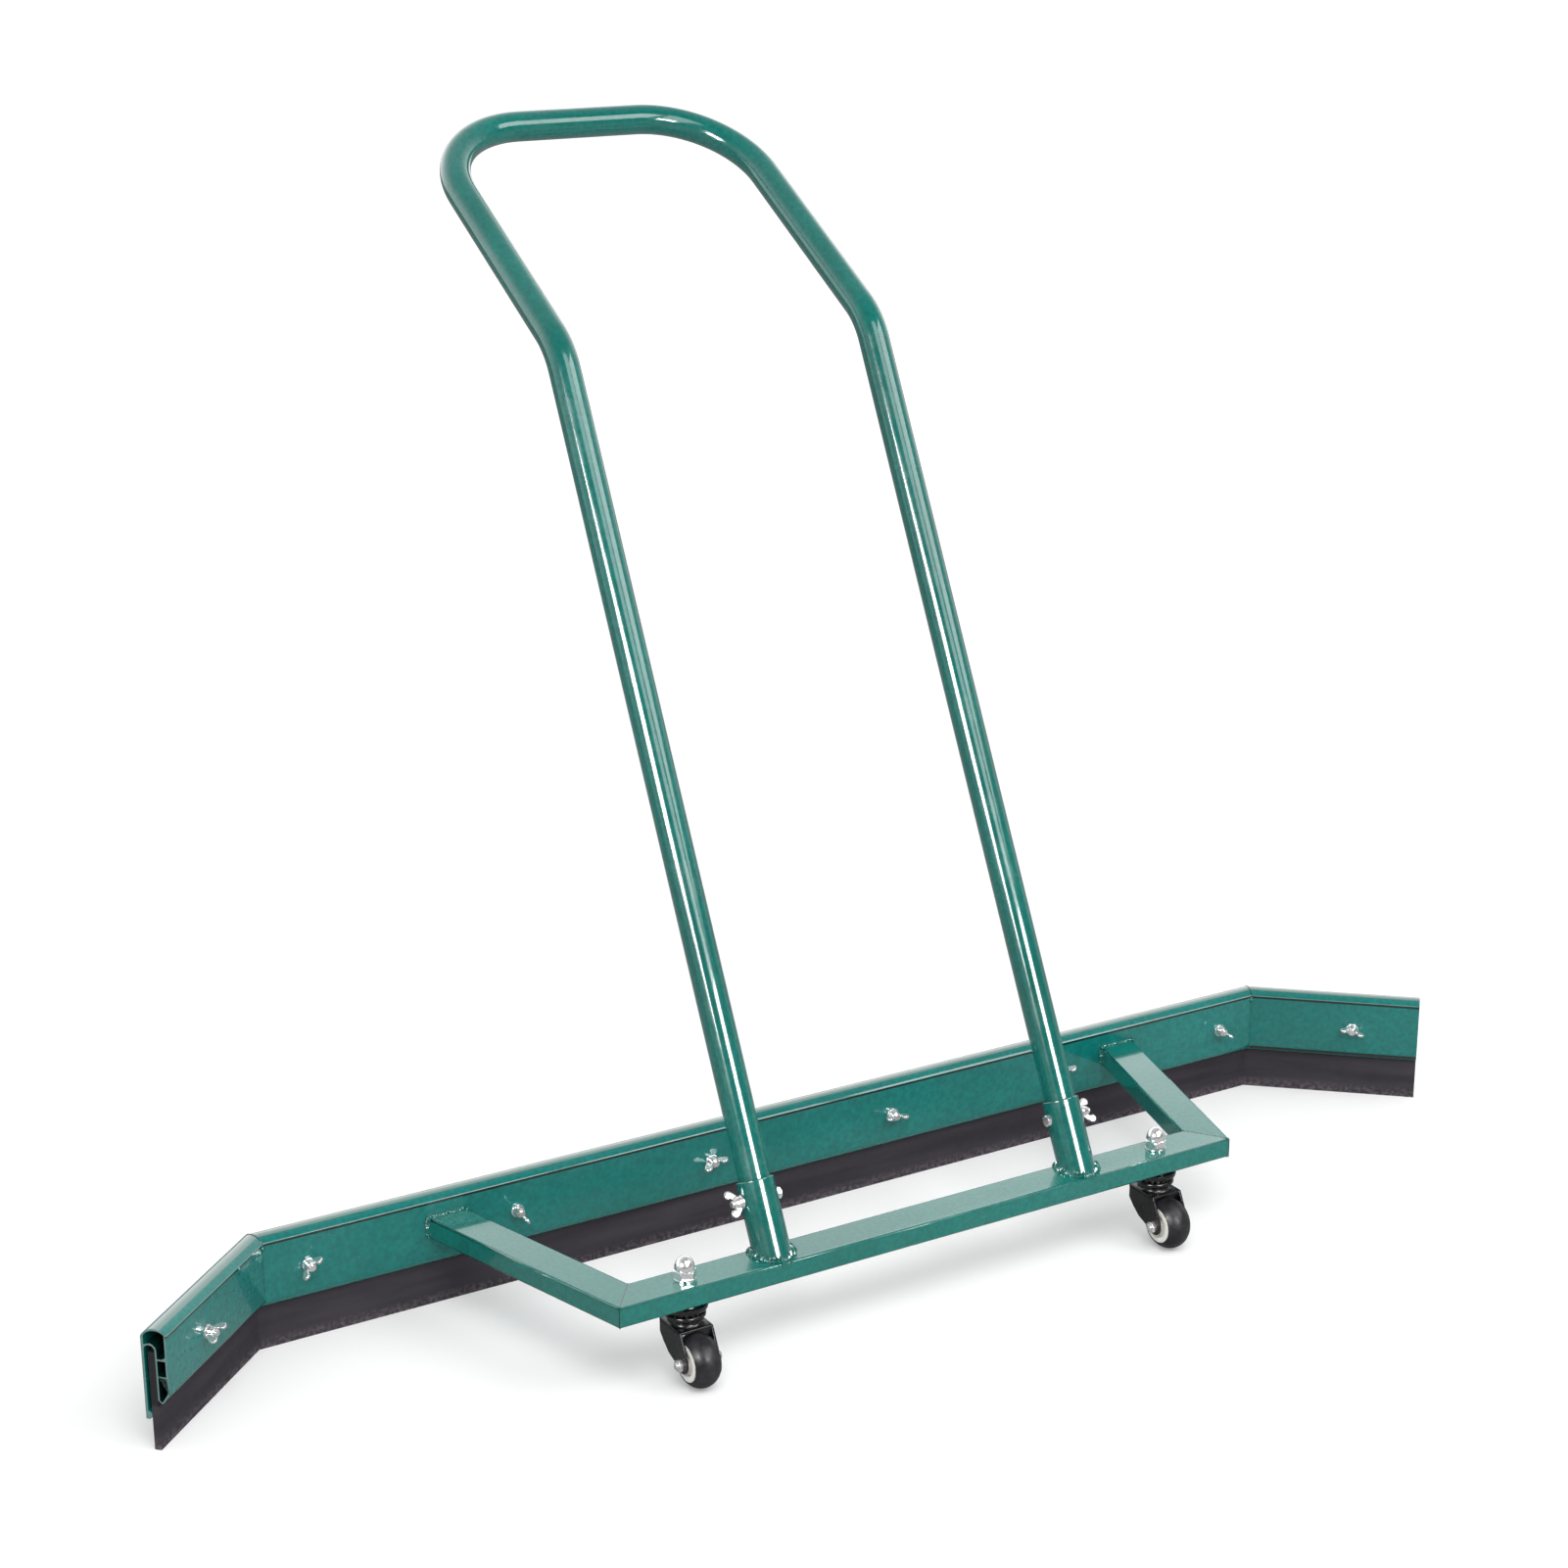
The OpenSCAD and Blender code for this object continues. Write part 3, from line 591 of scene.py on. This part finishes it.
bolt = threaded_bolt(CHANNEL_D + SEAT_GAP + WASHER_T + NUT_H + TIP, 14)
bm = bmesh.new()
for i in range(8):
    add_copy(bm, bolt, clamp_place(i) @ at(0, 0, -CHANNEL_D) @ turn(17 * i, "Z"))
bolt.free()
make_piece("clamp_bolt_set", bm, ZINC, "frame", ["clamp_bolts"], 30)

# %% [markdown]
# ## The handle's cross bolts
# One bolt goes through each socket and leg, with its head towards the middle. It uses the same
# threaded bolt, only longer.

# %% Place the cross bolts
SOCKET_R = 17.5
SOCKET_LEN = 67 * MM
BOLT_S = SOCKET_LEN - 17 * MM


def leg_place(side):
    """Local Z points outwards through the socket, local X down or up the leg."""
    point = Vector((side * LEG_X, FOOT_Y, BAR_TOP)) + up_low * BOLT_S
    return stand(point, AXIS_X * side, -up_low * side)


SEAT = SOCKET_R + SEAT_GAP
bolt = threaded_bolt(2 * SEAT + WASHER_T + NUT_H + TIP, 14)
bm = bmesh.new()
for side in (LEFT, RIGHT):
    add_copy(bm, bolt, leg_place(side) @ at(0, 0, -SEAT) @ turn(20, "Z"))
bolt.free()
make_piece("cross_bolt_set", bm, ZINC, "frame", ["handle_bolts"], 30)

# %% [markdown]
# ## Wing nuts
# A wing nut is cast or stamped in one piece: a tapering barrel with two ears. The barrel is turned and
# the ears are flat outlines given thickness. A voxel Remesh then fuses them, and a little smoothing
# melts the inner corners into the fillets a casting has.

# %% Shape one wing nut
EAR_T = 2.6
NUT_SPAN, NUT_TOP, EAR_R = 26.0, 12.8, 4.0


def one_wing_nut():
    bm = turned([(3.25, 0), (5.1, 0), (5.6, 0.5), (5.6, 1.0), (4.6, 6.2), (4.2, NUT_H), (3.25, NUT_H)], 48)
    ear_x = NUT_SPAN / 2 - EAR_R
    outline = [(3.9, 0.7), (6.4, 0.7), (8.3, 2.4)]
    for k in range(11):
        angle = math.radians(-50 + 20 * k)
        outline.append((ear_x + EAR_R * math.cos(angle), NUT_TOP - EAR_R + EAR_R * math.sin(angle)))
    outline += [(5.6, 7.3), (4.4, 6.4), (3.9, 6.3)]
    for side in (LEFT, RIGHT):
        loop = [bm.verts.new(Vector((side * x, -EAR_T / 2, z)) * MM) for x, z in outline]
        face = bm.faces.new(loop)
        raised = bmesh.ops.extrude_face_region(bm, geom=[face])["geom"]
        top = [v for v in raised if isinstance(v, bmesh.types.BMVert)]
        bmesh.ops.translate(bm, verts=top, vec=(0, EAR_T * MM, 0))
    bmesh.ops.recalc_face_normals(bm, faces=bm.faces)
    return bm


def fuse(bm, voxel, rounds):
    """Runs a voxel Remesh and a Smooth on a bmesh and returns the mesh they give."""
    mesh = bpy.data.meshes.new("fused")
    bm.to_mesh(mesh)
    bm.free()
    blank = bpy.data.objects.new("fused", mesh)
    bpy.context.scene.collection.objects.link(blank)
    remesh = blank.modifiers.new("fuse", "REMESH")
    remesh.mode = "VOXEL"
    remesh.voxel_size = voxel * MM
    smooth = blank.modifiers.new("melt", "SMOOTH")
    smooth.factor = 0.5
    smooth.iterations = rounds
    ready = bpy.data.meshes.new_from_object(blank.evaluated_get(bpy.context.evaluated_depsgraph_get()))
    bpy.data.objects.remove(blank)
    return ready


wing_nut = fuse(one_wing_nut(), 0.45, 4)
print("wing nut faces:", len(wing_nut.polygons))

# %% [markdown]
# ## Washers and wing nuts in place
# Each nut stopped at its own angle when it was tightened by hand, so each has its own turn about the
# bolt. Every washer and nut is a piece of its own, because each one moves along its own bolt.

# %% Put the washers and the wing nuts on their bolts
NUT_ANGLES = [14, 44, -57, 17, -5, 30, -34, -12]
HANDLE_NUT_ANGLES = {LEFT: 21, RIGHT: -25}


def fit_nut(name, washer_body, nut_body, place, angle, washer_node, nut_node):
    ring = turned([(3.3, 0.15), (3.45, 0), (6.35, 0), (6.5, 0.15), (6.5, WASHER_T - 0.3),
                   (6.3, WASHER_T), (3.5, WASHER_T), (3.3, WASHER_T - 0.2)], 40)
    bmesh.ops.transform(ring, matrix=place, verts=ring.verts)
    make_piece(name + "_washer_ring", ring, ZINC, washer_body, [washer_node])
    mesh = wing_nut.copy()
    mesh.transform(place @ at(0, 0, WASHER_T) @ turn(angle, "Z"))
    place_mesh(name + "_wings", mesh, ZINC, nut_body, [nut_node], 60)


for i in range(8):
    place = clamp_place(i) @ at(0, 0, SEAT_GAP)
    fit_nut(f"clamp_{i + 1}", f"washer_{i + 1}", f"nut_{i + 1}", place, NUT_ANGLES[i],
            f"blade_washer_{i + 1}", f"blade_wing_nut_{i + 1}")
for side, word in SIDE_NAMES.items():
    fit_nut(f"{word}_leg", f"{word}_leg_washer", f"{word}_leg_nut", leg_place(side) @ at(0, 0, SEAT),
            HANDLE_NUT_ANGLES[side], f"{word}_handle_washer", f"{word}_handle_wing_nut")

# %% [markdown]
# ## Sockets
# A socket is a short pipe cut at a slant where it meets the bar. It is turned upright with a rounded
# rim, leaned over with the leg, and then the bar's top plane cuts its foot.

# %% Lean and cut the sockets
BORE_R = 15.2
for side, word in SIDE_NAMES.items():
    long_foot = -20
    top = SOCKET_LEN / MM
    bm = turned([(SOCKET_R, long_foot), (SOCKET_R, top - 1.6), (SOCKET_R, top - 0.9), (SOCKET_R - 0.3, top - 0.3),
                 (SOCKET_R - 0.9, top), (BORE_R + 0.5, top), (BORE_R, top - 0.5), (BORE_R, long_foot)], 64)
    lean = stand(Vector((side * LEG_X, FOOT_Y, BAR_TOP)), up_low, AXIS_X)
    bmesh.ops.transform(bm, matrix=lean, verts=bm.verts)
    everything = bm.verts[:] + bm.edges[:] + bm.faces[:]
    cut = bmesh.ops.bisect_plane(bm, geom=everything, plane_co=(0, 0, BAR_TOP),
                                 plane_no=(0, 0, -1), clear_outer=True)["geom_cut"]
    rim = [e for e in cut if isinstance(e, bmesh.types.BMEdge)]
    bmesh.ops.triangle_fill(bm, edges=rim, use_beauty=True)
    make_piece(word + "_socket_pipe", bm, GREEN_TUBE, "frame", [word + "_socket"], 35)

# %% [markdown]
# ## Weld beads
# The frame is welded before it is painted, and the beads glint where light crosses their ripples. A bead
# is a chain of rings along the joint. Each ripple swells and sinks over three rings, the ends taper out,
# and neighbouring rings are bridged.

# %% Write the welder
RIPPLE = 3.4
SWELL = (1.0, 0.84, 0.62, 0.82)


def weld(bm, points, radius, up, rippled=True):
    """Lays a bead through points in metres; radius is in millimetres."""
    lengths = [(b - a).length for a, b in zip(points, points[1:])]
    count = max(3, round(sum(lengths) / (RIPPLE * MM)) * len(SWELL))
    rings = []
    for k in range(count + 1):
        travel = sum(lengths) * k / count
        i = 0
        while i < len(lengths) - 1 and travel > lengths[i]:
            travel -= lengths[i]
            i += 1
        way = (points[i + 1] - points[i]).normalized()
        size = radius * min(1.0, 0.35 + 0.3 * min(k, count - k)) * MM
        if rippled:
            size *= SWELL[k % len(SWELL)] * (1 + 0.16 * math.sin(1.9 * k) + 0.12 * math.sin(0.7 * k))
        place = stand(points[i] + way * travel, way, up)
        made = bmesh.ops.create_circle(bm, segments=10, radius=size, matrix=place)["verts"]
        rings.append(list({e for v in made for e in v.link_edges}))
    for one, other in zip(rings, rings[1:]):
        bmesh.ops.bridge_loops(bm, edges=one + other)
    bmesh.ops.edgeloop_fill(bm, edges=rings[0])
    bmesh.ops.edgeloop_fill(bm, edges=rings[-1])

# %% [markdown]
# ## Where the beads run
# Round each socket's foot the bead follows an ellipse, because a leaning pipe meets the bar in one. At
# the frame's mitres it crosses the top and goes down the inner and outer corners. Each arm is welded
# to the channel along its top, its bottom and both sides. The channel's own mitres were ground nearly
# flush, so their beads are thin.

# %% Weld the frame
BAR_H, BAR_W, REACH = 20 * MM, 38 * MM, 246 * MM
BAR_HALF, ARM_HALF = 334 * MM, 403 * MM
ARM_END_IN, MITRE_IN = 363.5 * MM, 305.2 * MM
CAP_R, CAP_N = 15.4, 10.4
front, rear = BLADE_Y - REACH, BLADE_Y - REACH + BAR_W
bm, seams = bmesh.new(), bmesh.new()
for side in (LEFT, RIGHT):
    reach_y = SOCKET_R * MM / math.cos(LEAN_LOW)
    around = [math.tau * k / 48 for k in range(49)]
    foot = [Vector((side * LEG_X + SOCKET_R * MM * math.sin(a), FOOT_Y + reach_y * math.cos(a), BAR_TOP))
            for a in around]
    on_bar = [p for p in foot[:-1] if p.y < rear]
    order = sorted(on_bar, key=lambda p: math.atan2(side * (p.x - side * LEG_X), -(p.y - FOOT_Y)))
    weld(bm, order, 4.6, AXIS_Z)
    outer, inner = (side * BAR_HALF, front), (side * MITRE_IN, rear)
    for height in (BAR_TOP, BAR_TOP - BAR_H):
        weld(seams, [Vector((*outer, height)), Vector((*inner, height))], 0.45, AXIS_Z, rippled=False)
    for x, y in (outer, inner):
        weld(seams, [Vector((x, y, BAR_TOP)), Vector((x, y, BAR_TOP - BAR_H))], 0.45, AXIS_X, rippled=False)
    ends = (side * ARM_END_IN, side * ARM_HALF)
    for height in (BAR_TOP, BAR_TOP - BAR_H):
        weld(bm, [Vector((x, BLADE_Y, height)) for x in ends], 2.4, AXIS_Z)
    for x in ends:
        weld(bm, [Vector((x, BLADE_Y, BAR_TOP)), Vector((x, BLADE_Y, BAR_TOP - BAR_H))], 2.6, AXIS_X)
        weld(bm, [Vector((x, BLADE_Y - y * MM, BAR_TOP)) for y in (0, 5)], 3.4, AXIS_Z)
    corner = Vector((side * CORNER_X, BLADE_Y, 0))
    inwards = Vector((side * math.sin(WING_ANGLE / 2), math.cos(WING_ANGLE / 2), 0)) / math.cos(WING_ANGLE / 2)
    crest = [corner + inwards * n * MM + AXIS_Z * (CREST_Z - CAP_R + math.sqrt(CAP_R ** 2 - (n - CAP_N) ** 2)) * MM
             for n in range(-1, 23, 3)]
    weld(seams, crest, 0.6, AXIS_X, rippled=False)
    weld(bm, [corner + AXIS_Z * z * MM for z in (LIP_Z - 1, LIP_Z - 8)], 2.6, AXIS_X)
    weld(bm, [corner + AXIS_Z * z * MM for z in (LIP_Z - 8, KEEL_Z + 4)], 0.7, AXIS_X)
make_piece("frame_welds", bm, GREEN_TUBE, "frame", sharp=60)
make_piece("mitre_seams", seams, GREEN_SEAM, "frame", sharp=60)

# %% [markdown]
# ## Casters
# Each caster hangs from a threaded stem. A race disc sits under the bar, balls run between it and the
# fork's crown, and the fork drops behind the swivel so that the wheel trails.

# %% Give the caster's sizes
STEM_X = 259
STEM_Y = BLADE_Y / MM - 227
TRAIL = 23
WHEEL_R, WHEEL_W = 25.0, 26.0
BAR_LOW = BAR_TOP / MM - 20
CROWN_Z = 51.5


def caster_place(side):
    return at(side * STEM_X, STEM_Y, 0)


def wheel_place(side):
    """Local Z is the axle, pointing to +X."""
    return caster_place(side) @ at(0, -TRAIL, WHEEL_R) @ turn(90, "Y")

# %% [markdown]
# ## The stem, its race and the dome nut
# The stem is one turned shape: a rivet head under the crown, the pin, the race disc with its pressed
# rim, and the shank through the bar. A dome nut closes over its end on a split spring washer. The
# washer is a square wire wound not quite once round, so its spin stops short of a full turn and climbs.

# %% Turn the stems
HEAD_Z = CROWN_Z - 0.1
for side, word in SIDE_NAMES.items():
    bm = turned([(0, HEAD_Z - 3.4), (5.0, HEAD_Z - 3.4), (6.8, HEAD_Z - 3.0), (7.7, HEAD_Z - 2.2),
                 (8, HEAD_Z - 1.2), (8, HEAD_Z), (5, HEAD_Z), (5, 66.8), (11.0, 66.8),
                 (11.4, 67.5), (15.6, 67.5), (16.0, 66.8), (18.2, 66.8), (19.6, 67.3), (20.3, 68.4),
                 (20.5, 69.6), (20.5, 71.4), (20.1, 72.3), (19.0, 72.7), (16.8, 72.9), (16.2, BAR_LOW),
                 (5, BAR_LOW), (5, BAR_TOP / MM + 15), (4, BAR_TOP / MM + 16),
                 (0, BAR_TOP / MM + 16)], 64, closed=False)
    bmesh.ops.transform(bm, matrix=caster_place(side), verts=bm.verts)
    make_piece(word + "_swivel_stem", bm, BLACK, "frame", [word + "_caster_stem"])

# %% Close the stems with dome nuts on spring washers
DOME_ACROSS, DOME_HEX, DOME_H, DOME_R = 19.0, 8.0, 20.0, 9.2
CORNER = DOME_ACROSS / 2 / math.cos(math.radians(30))
nuts, springs = bmesh.new(), bmesh.new()
dome = []
for k in range(10):
    angle = math.radians(10 * k)
    dome.append((DOME_R * math.sin(angle), DOME_HEX + 1.1 + (DOME_H - DOME_HEX - 1.1) * math.cos(angle)))
dome += [(DOME_R - 0.1, DOME_HEX + 0.2), (DOME_R + 0.25, DOME_HEX - 0.1), (CORNER - 0.7, DOME_HEX - 0.6),
         (CORNER, DOME_HEX - 1.4), (CORNER, 1.0), (CORNER - 0.7, 0.4), (CORNER - 1.6, 0), (5.4, 0), (5.05, 0.35),
         (5.05, DOME_H - 4), (0, DOME_H - 4)]
blank = turned(dome, 72, closed=False)
mill_hexagon(blank, DOME_ACROSS, 0, DOME_HEX)
for side, angle in ((LEFT, 45), (RIGHT, 51)):
    add_copy(nuts, blank, caster_place(side) @ at(0, 0, BAR_TOP / MM + 2) @ turn(angle, "Z"))
    wire = bmesh.new()
    made = [wire.verts.new(Vector((r, 0, z)) * MM) for r, z in
            ((5.4, 0.0), (9.7, 0.0), (10.0, 0.25), (10.0, 1.45), (9.7, 1.7), (5.4, 1.7))]
    face = wire.faces.new(made)
    wire.normal_update()
    bmesh.ops.spin(wire, geom=[face], cent=(0, 0, 0), axis=(0, 0, 1), dvec=(0, 0, 0.25 * MM / 60),
                   angle=math.radians(352), steps=60, use_duplicate=False)
    add_copy(springs, wire, caster_place(side) @ at(0, 0, BAR_TOP / MM) @ turn(angle + 200, "Z"))
    wire.free()
blank.free()
make_piece("dome_nut_pair", nuts, ZINC, "frame", ["dome_nuts"], 16)
make_piece("spring_washer_pair", springs, ZINC, "frame", ["spring_washers"], 30)

# %% [markdown]
# ## The fork
# The fork is one pressing: a dished crown over two cheeks that slope back to the axle. Each cheek is
# drawn as a flat outline, given its thickness, and bevelled. The crown plate is a box with well-rounded
# shoulders, and the dish is turned.

# %% Press the forks
FORK_IN, FORK_T = WHEEL_W / 2 + 1.5, 2.5
FORK_OUT = FORK_IN + FORK_T


def cheek_outline():
    """The cheek's side view as (y, z) in millimetres about the swivel axis, going round once."""
    points = [(17, 53.8), (17, 40.5), (10.5, 33.6), (1.0, 26.0)]
    for k in range(9):
        angle = math.radians(-35 - 20 * k)
        points.append((-TRAIL + 9 * math.cos(angle), WHEEL_R + 9 * math.sin(angle)))
    return points + [(-31.2, 31.0), (-27.6, 38.5), (-23.6, 46.5), (-20, 53.8)]


def plate_between(bm, outline, low, high, soft):
    """Stands an outline in the YZ plane between two x, with softened edges."""
    loop = [bm.verts.new(Vector((low, y, z)) * MM) for y, z in outline]
    face = bm.faces.new(loop)
    raised = bmesh.ops.extrude_face_region(bm, geom=[face])["geom"]
    far = [v for v in raised if isinstance(v, bmesh.types.BMVert)]
    bmesh.ops.translate(bm, verts=far, vec=((high - low) * MM, 0, 0))
    rims = [e for e in bm.edges if e.is_valid and len(e.link_faces) == 2
            and e.calc_face_angle(0) > math.radians(60)
            and abs(e.verts[0].co.x - e.verts[1].co.x) < 1e-7]
    bmesh.ops.bevel(bm, geom=rims, offset=soft * MM, segments=3, affect="EDGES", profile=0.5, material=-1)


for side, word in SIDE_NAMES.items():
    bm = bmesh.new()
    for low in (-FORK_OUT, FORK_IN):
        part = bmesh.new()
        plate_between(part, cheek_outline(), low, low + FORK_T, 0.7)
        add_copy(bm, part, Matrix.Identity(4))
        part.free()
    part = bmesh.new()
    bmesh.ops.create_cube(part, size=MM, matrix=at(0, -1.5, CROWN_Z + 1.25)
                          @ Matrix.Diagonal((2 * FORK_OUT, 37, 2.5, 1)))
    shoulders = [e for e in part.edges if abs(e.verts[0].co.x - e.verts[1].co.x) < 1e-7
                 and min(v.co.z for v in e.verts) > (CROWN_Z + 2) * MM]
    shoulders += [e for e in part.edges if max(v.co.y for v in e.verts) < -19 * MM
                  and min(v.co.z for v in e.verts) > (CROWN_Z + 2) * MM and e not in shoulders]
    bmesh.ops.bevel(part, geom=shoulders, offset=1.8 * MM, segments=5, affect="EDGES", profile=0.5,
                    material=-1)
    add_copy(bm, part, Matrix.Identity(4))
    part.free()
    dish = turned([(5.05, CROWN_Z), (15.6, CROWN_Z), (16.3, CROWN_Z + 2.5), (15.2, CROWN_Z + 3.4),
                   (14.6, CROWN_Z + 4.6), (14.6, CROWN_Z + 6.2), (15.4, CROWN_Z + 7.2),
                   (17.6, CROWN_Z + 8.0), (18.4, CROWN_Z + 9.0), (18.5, CROWN_Z + 10.4),
                   (18.0, CROWN_Z + 11.8), (17.0, CROWN_Z + 12.5), (5.05, CROWN_Z + 12.5)], 64)
    add_copy(bm, dish, Matrix.Identity(4))
    dish.free()
    bmesh.ops.transform(bm, matrix=caster_place(side), verts=bm.verts)
    make_piece(word + "_pressed_fork", bm, BLACK, f"{word}_fork", [word + "_caster_fork"])

# %% [markdown]
# ## The wheel and its axle
# The tyre's section is a low crown between two rounded shoulders. The hub shows a cream ring on each
# side, sunk inside the ring and with a boss at the axle.

# %% Turn the wheels and fit the axles
for side, word in SIDE_NAMES.items():
    half = WHEEL_W / 2
    tread = []
    for k in range(-10, 11):
        x = half * 0.93 * k / 10
        tread.append((WHEEL_R - 16 + math.sqrt(16 ** 2 - x ** 2), x))
    tread[10] = (WHEEL_R, 0)
    shoulder = [(18.6, half - 0.1), (17.3, half - 0.35), (17.02, half - 0.7)]
    points = [(r, -x) for r, x in reversed(shoulder)] + tread + shoulder
    bm = turned(points, 96)
    bmesh.ops.transform(bm, matrix=wheel_place(side), verts=bm.verts)
    make_piece(word + "_tyre_ring", bm, TYRE, f"{word}_wheel", [word + "_tyre"])
    face = [(3.3, half + 0.9), (5.6, half + 0.9), (6.0, half + 0.5), (6.2, half - 2.8), (6.8, half - 3.5),
            (10.6, half - 3.5), (11.4, half - 3.0), (12.2, half + 0.2), (12.7, half + 0.5),
            (16.2, half + 0.5), (16.8, half + 0.2), (17, half - 0.3)]
    points = [(3.05, half + 0.6)] + face + [(r, -x) for r, x in reversed(face)] + [(3.05, -half - 0.6)]
    bm = turned(points, 96)
    bmesh.ops.transform(bm, matrix=wheel_place(side), verts=bm.verts)
    make_piece(word + "_nylon_hub", bm, CREAM, f"{word}_wheel", [word + "_wheel_hub"])

axle = threaded_bolt(2 * FORK_OUT + 6.5, 12)
axle_nut = hexagon_nut(10, 5, 3.05)
for side, word in SIDE_NAMES.items():
    bm = bmesh.new()
    add_copy(bm, axle, wheel_place(side) @ at(0, 0, FORK_OUT) @ turn(180, "X") @ turn(25, "Z"))
    make_piece(word + "_axle_screw", bm, ZINC, f"{word}_fork", [word + "_axle_bolt"], 30)
    bm = bmesh.new()
    add_copy(bm, axle_nut, wheel_place(side) @ at(0, 0, -FORK_OUT - 5) @ turn(10, "Z"))
    make_piece(word + "_axle_hexagon", bm, ZINC, f"{word}_fork", [word + "_axle_nut"], 30)
axle.free()
axle_nut.free()

# %% [markdown]
# ## The floor, the lights and the camera
# A plain pale floor keeps the shadow. Camera rays see the floor's far parts and the sky as white through
# the Light Path node, without adding light to the object. Two soft lamps and an even sky light it at a
# plain level. The camera stands where the photographer stood.

# %% Lay the floor
def picture_rays(nodes, links, mirrored=1.0):
    """1 for rays from the camera, mirrored for rays that a shiny face or a clear one sends on, else 0."""
    path = nodes.new("ShaderNodeLightPath")
    total = path.outputs["Is Camera Ray"]
    for kind in ("Is Glossy Ray", "Is Transmission Ray"):
        share = nodes.new("ShaderNodeMath")
        share.operation = "MULTIPLY_ADD"
        share.inputs[1].default_value = mirrored
        links.new(path.outputs[kind], share.inputs[0])
        links.new(total, share.inputs[2])
        total = share.outputs["Value"]
    return total, path


bm = bmesh.new()
bmesh.ops.create_grid(bm, x_segments=1, y_segments=1, size=60)
mesh = bpy.data.meshes.new("floor")
bm.to_mesh(mesh)
bm.free()
floor = bpy.data.objects.new("floor", mesh)
bpy.context.scene.collection.objects.link(floor)
floor_finish, nodes, links, shader = new_finish("pale_floor")
shader.inputs["Roughness"].default_value = 1.0
shader.inputs["Specular IOR Level"].default_value = 0.0
shader.inputs["Emission Color"].default_value = (1, 1, 1, 1)
place = nodes.new("ShaderNodeTexCoord")
reach = nodes.new("ShaderNodeVectorMath")
reach.operation = "LENGTH"
links.new(place.outputs["Object"], reach.inputs[0])
lift = span(nodes, links, reach.outputs["Value"], 0.6, 5.0, 0.24, 0.56)
seen, path = picture_rays(nodes, links, 0.0)
links.new(times(nodes, links, lift, seen), shader.inputs["Emission Strength"])
links.new(blend(nodes, links, path.outputs["Is Glossy Ray"], (0.72, 0.72, 0.72), (0.3, 0.3, 0.3)),
          shader.inputs["Base Color"])
mesh.materials.append(floor_finish)

# %% Light the sky and hang the lamps
world = bpy.data.worlds.new("sky")
bpy.context.scene.world = world
world.use_nodes = True
nodes, links = world.node_tree.nodes, world.node_tree.links
background = nodes["Background"]
seen, path = picture_rays(nodes, links)
way = nodes.new("ShaderNodeTexCoord")
parts = nodes.new("ShaderNodeSeparateXYZ")
links.new(way.outputs["Generated"], parts.inputs["Vector"])
mirrored = times(nodes, links, span(nodes, links, parts.outputs["Y"], -0.5, 0.6, 0.1, 1.4),
                 span(nodes, links, parts.outputs["Z"], 0.35, 0.8, 1.0, 0.4))
open_sky = nodes.new("ShaderNodeMix")
links.new(path.outputs["Is Camera Ray"], open_sky.inputs["Factor"])
links.new(mirrored, open_sky.inputs["A"])
open_sky.inputs["B"].default_value = 1.0
plain = nodes.new("ShaderNodeMix")
plain.inputs["A"].default_value = 0.72
links.new(seen, plain.inputs["Factor"])
links.new(open_sky.outputs["Result"], plain.inputs["B"])
links.new(plain.outputs["Result"], background.inputs["Strength"])
background.inputs["Color"].default_value = (1, 1, 1, 1)


def hang_lamp(name, side_angle, height_angle, distance, size, watts, diffuse=True, glossy=True):
    """Hangs a lamp that faces the legs; angles in degrees, the side angle from straight ahead to the left."""
    target = Vector((0, BLADE_Y - 0.1, 0.35))
    side, height = math.radians(side_angle), math.radians(height_angle)
    out = Vector((-math.sin(side) * math.cos(height), -math.cos(side) * math.cos(height), math.sin(height)))
    light = bpy.data.lights.new(name, "AREA")
    light.shape = "RECTANGLE"
    light.size, light.size_y = size
    light.energy = watts
    lamp = bpy.data.objects.new(name, light)
    bpy.context.scene.collection.objects.link(lamp)
    lamp.location = target + out * distance
    lamp.rotation_mode = "QUATERNION"
    lamp.rotation_quaternion = (-out).to_track_quat("-Z", "Y")
    lamp.visible_diffuse = diffuse
    lamp.visible_glossy = glossy
    return lamp


hang_lamp("front_strip", -3, 22.0, 3.2, (1.2, 0.56), 60, diffuse=False)
hang_lamp("left_strip", 62, 23.3, 3.2, (1.2, 0.86), 92, diffuse=False)
hang_lamp("front_veil", 3, 46, 3.2, (1.3, 2.0), 21, diffuse=False)
hang_lamp("front_softbox", 25, 50, 3.5, (2.4, 1.8), 70, glossy=False)
hang_lamp("right_softbox", -42, 40, 3.5, (2.0, 1.6), 40)

# %% Stand the camera where the photographer stood
YAW, PITCH, ROLL = 0.53712, -0.31309, -0.00462
EYE = Vector((-1380.2, BLADE_Y / MM - 2283.9, 1307.8)) * MM
look = Vector((math.sin(YAW) * math.cos(PITCH), math.cos(YAW) * math.cos(PITCH), math.sin(PITCH)))
level = Vector((math.cos(YAW), -math.sin(YAW), 0))
over = level.cross(look)
across = level * math.cos(ROLL) + over * math.sin(ROLL)
lens = bpy.data.cameras.new("camera")
lens.sensor_width = 36
lens.lens = 36 * 3026.4 / 1601
camera = bpy.data.objects.new("camera", lens)
bpy.context.scene.collection.objects.link(camera)
camera.matrix_world = stand(EYE, -look, across)
bpy.context.scene.camera = camera
bpy.context.scene.view_settings.view_transform = "Standard"
print("camera at", [round(v, 3) for v in EYE], "lens", round(lens.lens, 2), "mm")
